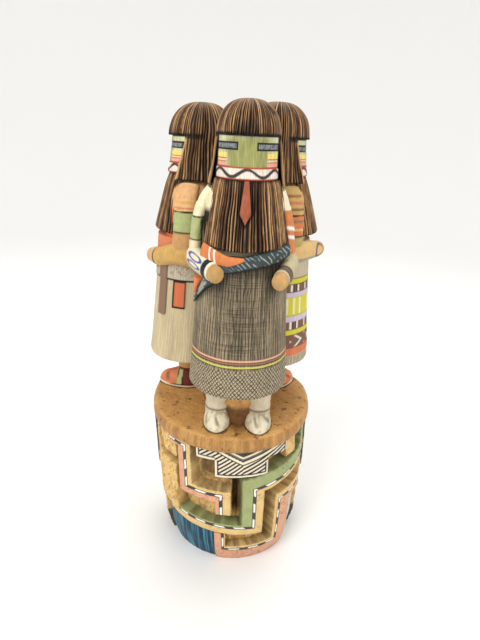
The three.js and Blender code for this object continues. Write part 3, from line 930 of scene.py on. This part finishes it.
def sash_paint(t, turn, rings):
    """Pale woven strokes on grey."""
    stroke = np.sin(130 * t + 7 * np.sin(turn) + 3 * noise(t * 20, np.sin(turn) * 2, seed=3))
    gaps = smooth(noise(t * 20, np.sin(turn) * 3, seed=12), -0.35, 0.1)
    strength = smooth(stroke, 0.45, 0.95) * gaps * (0.25 + 0.6 * smooth(t, 0.2, 0.5))
    paint = over(rgb(58, 66, 66), (rgb(160, 174, 170), strength))
    return burned(paint, fall(np.sin(turn), -0.85, -0.65), 0.8 * smooth(np.sin(turn), 0.72, 0.9))


def sash_end_paint(t, turn, rings):
    spots = smooth(noise(t * 9, np.sin(turn) * 2, seed=8), -0.2, 0.1)
    return burned(over(rgb(150, 152, 142), (rgb(60, 64, 62), spots)), fall(np.sin(turn), -0.8, -0.5))


def shawl_section(t):
    return 1.5 + 0 * t, lerp(5.0, 0.8, t**1.6)


def shawl_paint(t, turn, rings):
    """A pair of white strokes on orange."""
    strokes = [(middle - 0.022, middle + 0.022, WHITE) for middle in (0.3, 0.42)]
    return stripes(rgb(204, 122, 68), t + 0.06 * np.sin(turn), strokes, 0.012, 0.9)


class LeftFigure(Figure):
    name = "left"
    seed = 2
    foot = (-26, 16.4)
    lean = (5.0, -2.5)
    facing = -105.0
    feet_facing = -105.5
    feet_apart = 7.0
    feet_shift = -3.5
    ankle_width = 5.4
    toes = (9.0, 18.5)
    levels = (0, 25.5, 100, 124, 145, 160)
    levels_become = (0, 23.8, 99, 122, 143, 159.3)
    beard_rise = (-1.5, -1.5)
    fringe_end = 114
    hair_opening = (68, 80)
    mask_end = 74
    fists = ((-12, -19.5, 82), (12, -19.5, 82))

    def trunk_paint(self, a, z):
        return over(rgb(214, 164, 112), (rgb(222, 112, 66), fall(np.abs(a), 1.15, 1.2) * fall(z, 108, 110)))

    def arm_colours(self):
        def forearm(t, turn, rings):
            paint = over(rgb(196, 156, 88), (rgb(206, 166, 116), smooth(t, 0.78, 0.8)))
            return burned(paint, within(t, 0.74, 0.78, 0.008))

        both = {
            "sleeve": rgb(220, 170, 118),
            "armband": rgb(166, 174, 116),
            "elbow": rgb(190, 146, 92),
            "forearm": forearm,
            "hand": rgb(200, 156, 102),
            "stripes": ((112.8, 114.2, rgb(210, 164, 92)), (110.2, 111.2, rgb(196, 134, 88))),
        }
        return both, both

    def dress_paint(self, degrees, z, arc):
        """A belt with a line under it, a tab below, a strip of the shawl's edge and the shawl in front."""
        specks = smooth(noise(arc * 1.3, z * 0.9, seed=5), 0.35, 0.6) * smooth(z, 73, 76)
        tab = within(degrees, 78, 98, 0.4) * within(z, 56.6, 72, 0.15)
        fill = within(degrees, 80.4, 95.6, 0.4) * within(z, 57.6, 71, 0.15)
        strip = within(degrees, 50, 66, 0.5) * within(z, 51, 82, 0.3)
        shawl = smooth(z, 83.5, 84) * fall(np.abs(degrees), 84, 86)
        paint = over(
            mottle(rgb(206, 188, 150), stack(arc, 0, z * 0.15), 4, 0.1, self.seed),
            (rgb(196, 184, 160), smooth(z, 72.0, 72.4)),
            (rgb(120, 96, 84), 0.6 * specks),
            (BLACK, within(z, 71.6, 72.4, 0.12)),
            (BLACK, tab),
            (rgb(204, 108, 70), fill),
            (rgb(132, 102, 82), strip),
            (BLACK, within(degrees, 66, 68, 0.4) * within(z, 52, 82, 0.3) * 0.85),
            (rgb(206, 124, 84), shawl),
            (BLACK, 0.8 * smooth(z, 83.5, 84) * within(np.abs(degrees), 84, 87, 0.5)),
        )
        plain = 1 - np.clip(strip + tab + shawl, 0, 1)
        relief = 0.5 * smooth(z, 71.8, 72.3) + 0.4 * tab + 0.3 * strip
        return paint, stack(0.28 * plain, 0, 0), relief

    def boot_paint(self, y):
        """Orange ahead, then a pale green panel between black lines, and maroon behind."""
        paint = over(rgb(204, 124, 82), (rgb(178, 188, 130), smooth(y, -4.6, -4.4)))
        paint = over(paint, (rgb(110, 44, 32), smooth(y, -1.6, -1.4)))
        return burned(paint, within(y, -5.0, -4.4) + within(y, -1.9, -1.2))

    def leg_paint(self, y, z):
        paint = over(rgb(200, 152, 92), (self.boot_paint(y), fall(z, 12.3, 12.5)))
        paint = over(paint, (rgb(160, 56, 36), within(z, 12.4, 13.2)))
        return burned(paint, within(z, 11.9, 12.4, 0.1) + within(z, 13.2, 13.8, 0.1))

    def foot_paint(self, a, x, y, z):
        return soled(self.boot_paint(y), z, rgb(236, 214, 190))


class RightFigure(Figure):
    name = "right"
    seed = 3
    foot = (19.8, 15.8)
    lean = (-1.9, -1.9)
    facing = 116.0
    feet_facing = 132.0
    feet_apart = 7.0
    feet_shift = 4.0
    toes = (21.5, 14.0)
    beard_flare = 10.2
    hair_opening = (67, 79)
    mask_end = 73
    dress_grid = (280, 130)
    levels = (0, 25.5, 100, 124, 145, 160)
    levels_become = (0, 23.8, 99.5, 122.8, 143.8, 161.2)
    beard_rise = (-0.5, -0.5)
    fists = ((-12, -21.5, 88), (12, -21.5, 88))

    def trunk_paint(self, a, z):
        return rgb(206, 168, 96)

    def arm_colours(self):
        def forearm(t, turn, rings):
            loop = np.sqrt(((t - 0.86) / 0.2) ** 2 + (np.sin(turn) / 0.85) ** 2)
            # painted shade on the forearm's underside
            paint = over(rgb(212, 176, 116), (rgb(150, 144, 130), fall(np.sin(turn), -0.55, -0.4)))
            return over(paint, (rgb(52, 56, 96), within(loop, 0.72, 0.98, 0.08)))

        both = {
            "sleeve": rgb(196, 160, 96),
            "armband": rgb(204, 122, 72),
            "elbow": rgb(176, 158, 96),
            "forearm": forearm,
            "hand": rgb(196, 152, 92),
            "stripes": (
                (117.6, 119.0, rgb(150, 108, 70)),
                (114.2, 115.8, rgb(198, 120, 84)),
                (111.2, 112.4, rgb(140, 100, 66)),
                (105.2, 106.6, rgb(150, 112, 74)),
                (101.0, 102.2, rgb(216, 176, 110)),
            ),
        }
        return both, both

    def dress_paint(self, degrees, z, arc):
        """Bands of brown, yellow and lilac, with blocks, bars and zigzags on them."""
        brown = rgb(126, 90, 70)
        bands = (
            (31.2, 35.6, rgb(214, 124, 84)),
            (35.8, 43.2, brown),
            (43.4, 46.3, rgb(214, 204, 60)),
            (46.4, 51.0, brown),
            (51.2, 54.2, rgb(208, 194, 210)),
            (54.4, 64.6, rgb(216, 204, 62)),
            (64.8, 67.5, rgb(206, 190, 204)),
            (67.7, 71.8, brown),
            (72.0, 75.0, rgb(216, 202, 58)),
        )
        paint = rgb(196, 180, 154)
        for band in bands:
            paint = stripes(paint, z, [band], 0.08)
            paint = burned(paint, 0.8 * within(z, band[1] - 0.12, band[1] + 0.25, 0.08))
        block = (degrees % 30) / 30
        pale = within(block, 0.08, 0.2, 0.02) + within(block, 0.5, 0.6, 0.02)
        dark = within(block, 0.24, 0.3, 0.02) + within(block, 0.42, 0.48, 0.02)
        for low, high in ((46.6, 50.8), (67.9, 71.6)):
            row = within(z, low, high, 0.1)
            paint = over(paint, (WHITE, row * pale), (BLACK, row * dark))
        bars = within((degrees % 12) / 12, 0.1, 0.4, 0.03) * within((degrees % 48) / 48, 0.0, 0.6, 0.01)
        zigzag = within((arc * 0.35 + np.abs(z - 39.5) * 0.6) % 3.2, 0.4, 1.1, 0.12)
        zigzag = zigzag * within(z, 36.4, 42.8, 0.2) * smooth(noise(arc * 0.3, seed=6), -0.5, -0.2)
        paint = over(paint, (rgb(236, 232, 190), bars * within(z, 55.2, 64, 0.15)), (WHITE, zigzag))
        upright = lerp(0.5, 0.12, smooth(z, 30.8, 31.2))
        return paint, stack(upright, 0, 0), 0.25 * within(z, 31.2, 35.6, 0.2)

    def leg_paint(self, y, z):
        return rgb(200, 152, 100)

    def foot_paint(self, a, x, y, z):
        streaks = smooth(noise(a * 9, z * 0.2, seed=4), 0.0, 0.3)
        return soled(over(rgb(222, 140, 92), (rgb(196, 108, 70), 0.5 * streaks)), z, rgb(238, 224, 200))


# ---- Disc and heart of the root ----


def disc(figures):
    """The disc: stained end grain on top, upright grain round its soft edge, and the feet outlined on it."""
    middle = (DISC_TOP + DISC_UNDERSIDE) / 2
    half = (DISC_TOP - DISC_UNDERSIDE) / 2
    edge = np.radians(np.linspace(-78, 78, 18))
    rim_r = DISC_RADIUS - 2.6 + 2.6 * np.cos(edge)
    rim_z = middle + half * 0.98 * np.sin(edge)
    radii = np.concatenate([[20, DISC_RADIUS - 4], rim_r, np.linspace(DISC_RADIUS - 3.2, 2, 60)])
    heights = np.concatenate([[DISC_UNDERSIDE] * 2, rim_z, [DISC_TOP] * 60])
    a, r = np.meshgrid(all_round(320), radii)
    z = np.broadcast_to(heights[:, None], a.shape)
    room = 0.11 * np.exp(-(((from_front(a) - 125) / 24) ** 2))
    facets = 0.12 * noise(a * 16, z * 0.3, seed=21) * smooth(r, 38, 42)
    r = r * (1 + 0.006 * np.sin(3 * a + 1) + 0.004 * np.sin(5 * a) + room) + facets
    x, y = r * np.sin(a), -r * np.cos(a)
    dents = 0.22 * noise(x * 0.28, y * 0.28, seed=22) + 0.16 * noise(x * 0.9, y * 0.9, seed=26)
    rings = stack(x, y, z + dents * smooth(z, DISC_TOP - 1, DISC_TOP))
    paint = disc_paint(a, x, y, z)
    for figure in figures:
        for side, toe in zip(SIDES, figure.toes):
            paint = over(paint, (rgb(70, 40, 20), 0.85 * foot_shadow(figure, side, toe, x, y)))
    paint = disc_marks(paint, r, x, y, z)
    surf = stack(np.where(z < DISC_TOP - 0.8, a * DISC_RADIUS, x), y, rings[..., 2])
    lines = stack(0.18 * smooth(DISC_TOP - z, 0.7, 1.6), 0, 0)
    loft("disc", rings, paint, MATERIALS["disc"], lines, surf)


def disc_paint(a, x, y, z):
    """The disc's stain: paler patches, and a darker rim."""
    patches = smooth(noise(x * 0.13, y * 0.13, seed=24), 0, 0.6)
    rim = smooth(DISC_TOP - z, 0.7, 1.5) * smooth(noise(a * 40, 0, seed=25), -0.6, 0.7)
    paint = mottle(rgb(192, 142, 80), stack(x, y, z * 0.3), 2, 0.14, 23)
    return over(paint, (rgb(206, 158, 92), 0.5 * patches), (rgb(138, 94, 50), 0.5 * rim))


def disc_marks(paint, r, x, y, z):
    """Chips, and the shade and the crack between the front figure's feet."""
    chips = smooth(noise(x * 0.55, y * 0.55, z * 0.3, seed=27), 0.68, 0.74)
    shade = np.exp(-(((x - 3.7) / 4.5) ** 2) - ((y + 30) / 7) ** 2) * smooth(z, DISC_TOP - 1, DISC_TOP)
    crack = within(np.abs(x - 3.2 - 0.8 * noise(y * 0.5, seed=28)), -1, 0.3, 0.15) * within(y, -42.5, -36, 1)
    dark = np.clip(0.85 * shade + 0.7 * crack, 0, 1) * (r < DISC_RADIUS - 2)
    return over(paint, (rgb(90, 54, 26), 0.7 * chips), (rgb(60, 34, 18), dark))


def foot_shadow(figure, side, toe, x, y):
    """How much the burned line round a foot darkens each point of the disc's top."""
    length = (toe + HEEL) / 2
    middle = figure.place(np.array([figure.foot_x(side), length - toe, 0.0]), figure.feet_facing)
    x, y = turned(x - middle[0], y - middle[1], -figure.feet_facing)
    return fall(np.sqrt((x / FOOT_HALF) ** 2 + (y / length) ** 2), 1.02, 1.09)


def heartwood():
    """The root's heart, left rough between the three backs and behind the legs."""
    low, high = DISC_TOP - 3, DISC_TOP + 119
    a, z = np.meshgrid(all_round(80), np.linspace(low, high, 60))
    radius = lerp(17, 11, (z - low) / (high - low)) + 0.8 * noise(a * 3, z * 0.2, seed=31)
    radius = radius + 0.3 * noise(a * 9, z * 0.8, seed=32)
    rings = around(a, z, radius, radius)
    paint = mottle(rgb(120, 80, 44), rings * (1, 1, 0.4), 3, 0.25, 33)
    loft("heartwood", rings, paint, MATERIALS["raw"])


# ---- Base ----

ARC = math.radians(1) * 43  # millimetres along the base's surface to one degree
DASH_PERIOD = 11.8


def base_radius(z):
    return np.interp(z, [0, 5, 12, 30, 50, 81], [37.5, 39, 40.5, 42, 43, 43.5])


def base_points(degrees, z, radius):
    """Points on the leaning base, at an angle from the front, a height and a radius."""
    lean = 1 - z / DISC_UNDERSIDE
    shift = stack(FOOT_SHIFT[0] * lean, FOOT_SHIFT[1] * lean, 0)
    return around(np.radians(degrees), z, radius, radius) + shift


def offset_path(path, offsets):
    """A stepped path moved to its left by its own distance on each stretch, with mitred corners."""
    path = np.array(path, float)
    steps = unit(np.diff(path, axis=0))
    normals = np.stack([-steps[:, 1], steps[:, 0]], axis=1)
    made = [path[0] + normals[0] * offsets[0]]
    for k in range(1, len(steps)):
        beside = normals[k - 1 : k + 1]
        made.append(np.linalg.solve(beside, beside @ path[k] + offsets[k - 1 : k + 1]))
    made.append(path[-1] + normals[-1] * offsets[-1])
    return np.array(made)


# Each stepped band of the fret: the path of its dashed line, as (degrees, height); for each edge of its
# lanes, from the left of the path to the right, how far it stands off the line on each stretch; the colour
# of its last lane; and how far its dashes are moved on.
FRET = {
    "upper": (
        ((-49, 79.4), (-33.4, 79.0), (-33.4, 52.1), (-5.9, 51.2), (-5.9, 37.4)),
        ((1.9, 3.6, 2.9, 5.6), (1.1, 1.1, 1.1, 1.1), (-1.0, -1.1, -1.1, -1.1), (-2.2, -5.2, -5.4, -3.3)),
        PINK,
        2.0,
    ),
    "middle": (
        ((84, 81), (82, 61.5), (19.4, 54.6), (19.4, 26.6), (-54, 31.8)),
        ((3.3, 3.3, 6.1, 5.6), (1.0, 1.0, 1.1, 1.0), (-1.0, -1.0, -1.1, -1.0), (-9.0, -8.2, -7.2, -2.0)),
        GREEN,
        5.0,
    ),
    "lower": (
        ((-5.0, 22.5), (-5.0, 9.8), (42.4, 9.8), (42.6, 41.6), (76, 41.9)),
        ((1.4, 2.6, 3.4, 4.2), (0.9, 1.0, 1.0, 1.0), (-0.9, -1.0, -1.0, -1.0), (-5.2, -9.8, -10.2, -4.6)),
        PINK,
        9.0,
    ),
}
WALL_DEPTHS = (9.5, 6.5, 4.0, 2.2, 1.0, 0.45)
LANES = 3


def band_section():
    """Across a band: up its left wall, over its face and down its right wall. Each point has its place, one
    unit to a lane, its lane and its depth."""
    face = [(lane + t, lane, 0) for lane in range(LANES) for t in np.linspace(0, 1, 8).clip(0.012, 0.988)]
    left = [(0, 0, depth) for depth in WALL_DEPTHS]
    right = [(LANES, LANES - 1, depth) for depth in WALL_DEPTHS[::-1]]
    return np.array(left + face + right).T


def band_rails(path, lane_edges):
    """Points along each edge of a band's lanes, abreast of each other."""
    flat = [(degrees * ARC, z) for degrees, z in path]
    edges = [offset_path(flat, offsets) for offsets in lane_edges]
    stretches = np.linalg.norm(np.diff(edges[1], axis=0), axis=1)
    at = []
    for k, length in enumerate(stretches):
        at += list(k + np.linspace(0, 1, max(3, int(length / 0.55)), endpoint=k == len(stretches) - 1))
    corners = np.arange(len(path))
    return np.array([np.stack([np.interp(at, corners, line) for line in edge.T], axis=1) for edge in edges])


def fret_band(name, path, lane_edges, outside, dash_shift, turn, seed):
    """A stepped band with a dashed line along it, tan on one side and another colour on the other."""
    rails = band_rails(path, lane_edges)
    place, lane, depth = band_section()
    low = np.minimum(place.astype(int), LANES - 1)
    s, z = lerp(rails[low], rails[low + 1], (place - low)[:, None, None]).T
    z = np.clip(z, 0, DISC_UNDERSIDE + 1)
    from_edge = np.minimum(place, LANES - place)
    sunk = np.where((depth == 0) & (from_edge < 0.1), 0.22, depth)
    rough = 0.16 * noise(s * 0.35, z * 0.35, depth * 0.4, seed + 41)
    rough = rough + 0.08 * noise(s * 1.3, z * 1.3, depth, seed + 42)
    rings = base_points(s / ARC + turn, z, base_radius(z) - sunk + rough)
    run = np.linalg.norm(np.diff(rails[1], axis=0), axis=1).cumsum()
    run = np.concatenate([[0], run])[:, None]
    dash = within((run + dash_shift) % DASH_PERIOD, 0.4, 6.7, 0.2) * within(place, 1.2, 1.8, 0.04)
    edge = fall(from_edge, 0.03, 0.09) * (0.35 + 0.3 * noise(s * 0.5, z * 0.5, seed=seed + 45))
    colours = np.array([TAN, CHARCOAL, outside])[lane.astype(int)]
    paint = over(colours, (WHITE, dash), (rgb(58, 40, 26), edge))
    paint = band_dirt_and_shade(mottle(paint, stack(s, depth, z), 4, 0.07, seed + 43), s, z, depth, seed)
    loft(name, rings, paint, MATERIALS["band"], surf=stack(s + turn, depth, z), sharp=50)


def band_dirt_and_shade(paint, s, z, depth, seed):
    """Patchy dirt and painted shade on a band's walls, darker the deeper they go, and specks in patches on
    its face.
    """
    dirt = smooth(noise(s * 0.5, z * 0.5, depth * 0.5, seed + 44), 0.1, 0.7) * smooth(depth, 0.4, 4)
    specks = smooth(noise(s * 1.6, z * 1.6, depth, seed + 46), 0.4, 0.55)
    specks = specks * smooth(noise(s * 0.12, z * 0.12, seed=seed + 47), 0.0, 0.4)
    return over(
        paint,
        # patchy dirt and painted shade, deeper down the walls
        (rgb(120, 80, 42), 0.2 * dirt),
        (rgb(50, 40, 22), 0.4 * specks),
        (rgb(60, 38, 20), 0.15 * smooth(depth, 2.5, 8)),
    )


def panel(name, turn, span, heights, proud, paint_at, kind, rough, seed, step=0.75):
    """A field or post on the base, from one angle to another and one height to another. Its face stands out
    by `proud`, and is `rough` in millimetres."""
    count = max(8, int((span[1] - span[0]) * ARC / step))
    rows = max(6, int((heights[1] - heights[0]) / step))
    degrees = np.pad(np.linspace(*span, count), 4, mode="edge")
    levels = np.pad(np.linspace(*heights, rows), 2, mode="edge")
    sides = np.concatenate([[11, 6, 2.5, 0.5, 0.2], np.zeros(count - 2), [0.2, 0.5, 2.5, 6, 11]])
    ends = np.concatenate([[7, 0.4], np.zeros(rows), [0.4, 7]])
    d, z = np.meshgrid(degrees, levels)
    inward = np.maximum(sides, ends[:, None])
    s = d * ARC
    bumps = noise(s * 0.3, z * 0.22, inward * 0.3, seed) + 0.5 * noise(s * 0.9, z * 0.7, inward, seed + 1)
    radius = base_radius(z) + proud - inward + rough * bumps * (1 + (inward > 0.3))
    rings = base_points(d + turn, z, np.maximum(radius, CORE_RADIUS - 6))
    paint = mottle(paint_at(d, z, inward), stack(s, inward, z), 3, 0.08, seed)
    loft(name, rings, paint, MATERIALS[kind], surf=stack(s + seed * 9.0, inward, z), sharp=50)


def raw_paint(d, z, inward):
    """Bare root: pale where it was chipped away, brown where it was left, with dark flecks and painted shade
    where it is sunk in.
    """
    return over(
        rgb(222, 184, 116),
        (rgb(222, 188, 124), 0.6 * smooth(noise(d * 0.4, z * 0.2, seed=52), 0.0, 0.5)),
        (rgb(170, 122, 68), 0.45 * smooth(noise(d * 0.35, z * 0.35, inward * 0.3, seed=51), 0.2, 0.45)),
        (rgb(84, 56, 30), 0.6 * smooth(noise(d * 2.2, z * 1.3, inward, seed=55), 0.55, 0.66)),
        # painted shade, darker the further in the wood is sunk
        (rgb(70, 44, 22), 0.5 * smooth(inward, 1.5, 6)),
    )


def pilaster_root_paint(d, z, inward):
    """The left pilaster: bare root, with a dark lobe at its foot."""
    lobe = 0.9 * fall(z + 1.5 * noise(d * 0.3, seed=56), 13, 15)
    return over(raw_paint(d, z, inward), (rgb(52, 54, 54), lobe))


def blue_paint(d, z, inward):
    streak = smooth(noise(d * 1.3, z * 0.05, seed=53) + 0.5 * noise(d * 4, z * 0.1, seed=57), -0.5, 0.9)
    return over(rgb(14, 46, 68), (rgb(66, 132, 156), streak))


def grey_paint(d, z, inward):
    hatch = within(((d * 0.75 + z) % 3.4) / 3.4, 0.3, 0.5, 0.05)
    paint = over(rgb(206, 196, 178), (rgb(110, 104, 98), 0.6 * hatch))
    return burned(paint, within(d, 54, 60, 0.3) * 0.5)


def pilaster_paint(d, z, inward):
    return burned(rgb(96, 94, 98), smooth(noise(d * 0.6, z * 0.25, seed=54), 0.0, 0.4) * 0.7)


CHEVRON = (
    (-0.1, 0.7, BLACK),
    (0.7, 2.3, CREAM),
    (2.5, 3.3, BLACK),
    (3.3, 4.5, rgb(96, 92, 88)),
    (4.5, 5.7, CREAM),
    (5.7, 12, rgb(60, 56, 54)),
)


def hatched_paint(d, z, inward):
    """The stepped panel: a pale border, a black line, slanting strokes and a hanging chevron."""
    s = d * ARC
    middle = 10 * ARC
    bottom = np.where((d > -10) & (d < 29.5), 64.0, np.where(d > 29, 72.5, 75.0))
    left = np.where(z < 75, -10, -24) * ARC
    right = np.where(z < 72, 29.5, 47) * ARC
    rim = np.minimum(np.minimum(z - bottom, s - left), right - s)
    slant = np.where(s < middle, 0.8, 0.5)
    strokes = within(((z - slant * s) % 2.6) / 2.6, 0.0, 0.5, 0.07)
    paint = over(rgb(226, 214, 190), (rgb(30, 27, 25), smooth(rim, 1.9, 2.1) * strokes))
    paint = burned(paint, within(rim, 1.2, 1.95, 0.1))
    up = z - 71.6 - np.where(s < middle, 0.62, 0.36) * np.abs(s - middle)
    return over(stripes(paint, up, CHEVRON), (rgb(120, 90, 60), (inward > 0.35) * 0.6))


def core():
    """The floor of the recesses: rough-cut wood, sunk into deep sockets beside the bands' turned ends."""
    levels = np.concatenate([[0, 0], np.linspace(0, DISC_UNDERSIDE + 0.5, 90)])
    d, z = np.meshgrid(np.linspace(0, 360, 300, endpoint=False), levels)
    at = (d + 90) % 180 - 90
    sink = 7 * within(at, 3.5, 9.5, 0.6) * within(z, 33, 58, 0.8)
    sink = sink + 8 * within(at, 28.5, 37.5, 0.8) * within(z, 12, 44, 0.8)
    s = d * ARC
    rough = 0.7 * noise(s * 0.22, z * 0.22, seed=61) + 0.35 * noise(s * 0.7, z * 0.7, seed=62)
    radius = CORE_RADIUS - sink + rough
    radius[0] = 12
    from_middle = (d + 180) % 360 - 180
    shade = within(d % 180, 0, 3, 1) * within(z, 56, 64, 1)
    shade = shade + within(from_middle, -27, -9, 2) * within(z, 58, 76, 3)
    shade = shade + within(from_middle, -72, -36, 1.5) * within(z, 61, 68, 1)
    second = within(d % 180, 28.0, 38.0, 0.5) * within(z, 14, 34, 0.8)
    paint = over(
        raw_paint(d, z, sink),
        (rgb(96, 62, 30), 0.4 * smooth(noise(s * 0.3, z * 0.3, seed=63), -0.1, 0.5)),
        (rgb(60, 38, 20), 0.75 * np.clip(shade, 0, 1)),
        (BLUE, second * smooth(sink, 3, 6)),
        # painted shade, darker the deeper a socket sinks
        (rgb(40, 26, 14), 0.75 * smooth(sink, 1, 6) * (1 - second)),
    )
    rings = base_points(d, z, radius)
    loft("base_core", rings, paint, MATERIALS["raw"], surf=stack(s, sink, z), sharp=60)


# Name, angles, heights, how far the face stands out, paint, material, roughness, seed
PANELS = (
    ("blue_field", (-62, -11.5), (0, 25.5), -1.3, blue_paint, "blue", 0.12, 71),
    ("grey_field", (54, 80), (0, 39), -2.2, grey_paint, "band", 0.1, 72),
    ("post_upper", (-66, -45), (66.5, 81.5), -1.2, raw_paint, "raw", 0.9, 73),
    ("post_lower", (-70, -43.5), (29, 62.5), 0.2, raw_paint, "raw", 0.9, 74),
    ("post_right", (49, 62), (68, 81.5), -1.5, raw_paint, "band", 0.3, 75),
    ("pilaster_right", (86, 98), (45, 81.5), 1.4, pilaster_paint, "band", 0.15, 76),
    ("pilaster_left", (-96, -69), (0, 81.5), 0.2, pilaster_root_paint, "raw", 0.5, 77),
    ("panel_high", (-24, 47), (74.8, 81.5), -0.5, hatched_paint, "band", 0.06, 78, 0.3),
    ("panel_low", (-10, 29.5), (64, 80), -0.45, hatched_paint, "band", 0.06, 78, 0.3),
)


def base():
    core()
    for turn, label in ((0, "front"), (180, "back")):
        for seed, (name, band) in enumerate(FRET.items(), 1):
            fret_band(f"band_{name}_{label}", *band, turn, seed)
        for name, *shape in PANELS:
            panel(f"{name}_{label}", turn, *shape)


# ---- Floor, light and camera ----


def studio():
    """A pale floor that curves up all round."""
    flat, bend, sides = 0.9, 0.6, 96
    profile = [(flat, 0)]
    for a in np.linspace(0.1, math.pi / 2, 14):
        profile.append((flat + bend * math.sin(a), bend - bend * math.cos(a)))
    profile.append((flat + bend, 2.2))
    points = [(r * math.cos(a), r * math.sin(a), z) for r, z in profile for a in all_round(sides)]
    quads, _ = grid_faces(len(profile), sides)
    mesh = bpy.data.meshes.new("floor")
    mesh.from_pydata(points, [], [list(range(sides)), *quads[:, [0, 3, 2, 1]].tolist()])
    mesh.polygons.foreach_set("use_smooth", np.ones(len(mesh.polygons), bool))
    floor = bpy.data.objects.new("floor", mesh)
    bpy.context.scene.collection.objects.link(floor)
    paper = Nodes("floor_paper")
    paper.set(paper.shader.inputs["Base Color"], (0.86, 0.855, 0.84, 1))
    paper.set(paper.shader.inputs["Roughness"], 0.9)
    mesh.materials.append(paper.material)


AIM = Vector((0, 0, 0.12))  # about the middle of the carving


def lamp(name, place, size, power):
    """A round soft lamp that looks at the carving."""
    light = bpy.data.lights.new(name, "AREA")
    light.shape = "DISK"
    light.size, light.energy = size, power
    made = bpy.data.objects.new(name, light)
    made.location = place
    made.rotation_mode = "QUATERNION"
    made.rotation_quaternion = (AIM - Vector(place)).to_track_quat("-Z", "Y")
    bpy.context.scene.collection.objects.link(made)


def lights():
    """Three large soft lamps in a white room."""
    lamp("key", (-0.55, -0.75, 1.05), 0.7, 9)
    lamp("fill", (0.8, -0.6, 0.7), 0.9, 3)
    lamp("top", (0.1, 0.35, 1.3), 0.9, 8)
    world = bpy.data.worlds.new("studio")
    world.use_nodes = True
    background = world.node_tree.nodes["Background"]
    background.inputs["Color"].default_value = (1, 1, 1, 1)
    background.inputs["Strength"].default_value = 0.5
    bpy.context.scene.world = world
    bpy.context.scene.view_settings.view_transform = "Standard"


def camera():
    """The camera stands about one object height away, nearly level with its top, and looks down at it."""
    pitch, yaw, roll = 0.362, 0.011, 0.049
    ahead = Vector((math.sin(yaw) * math.cos(pitch), math.cos(yaw) * math.cos(pitch), -math.sin(pitch)))
    right = Vector((math.cos(yaw), -math.sin(yaw), 0))
    up = right.cross(ahead)
    side = right * math.cos(roll) + up * math.sin(roll)
    top = up * math.cos(roll) - right * math.sin(roll)
    data = bpy.data.cameras.new("camera")
    data.sensor_width = 36
    data.lens = 28.125
    data.clip_start = 0.01
    made = bpy.data.objects.new("camera", data)
    turn = Matrix((side, top, -ahead)).transposed().to_4x4()
    made.matrix_world = Matrix.Translation((0, -260.834 * MM, 236.741 * MM)) @ turn
    bpy.context.scene.collection.objects.link(made)
    bpy.context.scene.camera = made


camera()
studio()
lights()
figures = [FrontFigure(), LeftFigure(), RightFigure()]
for figure in figures:
    figure.build()
disc(figures)
heartwood()
base()
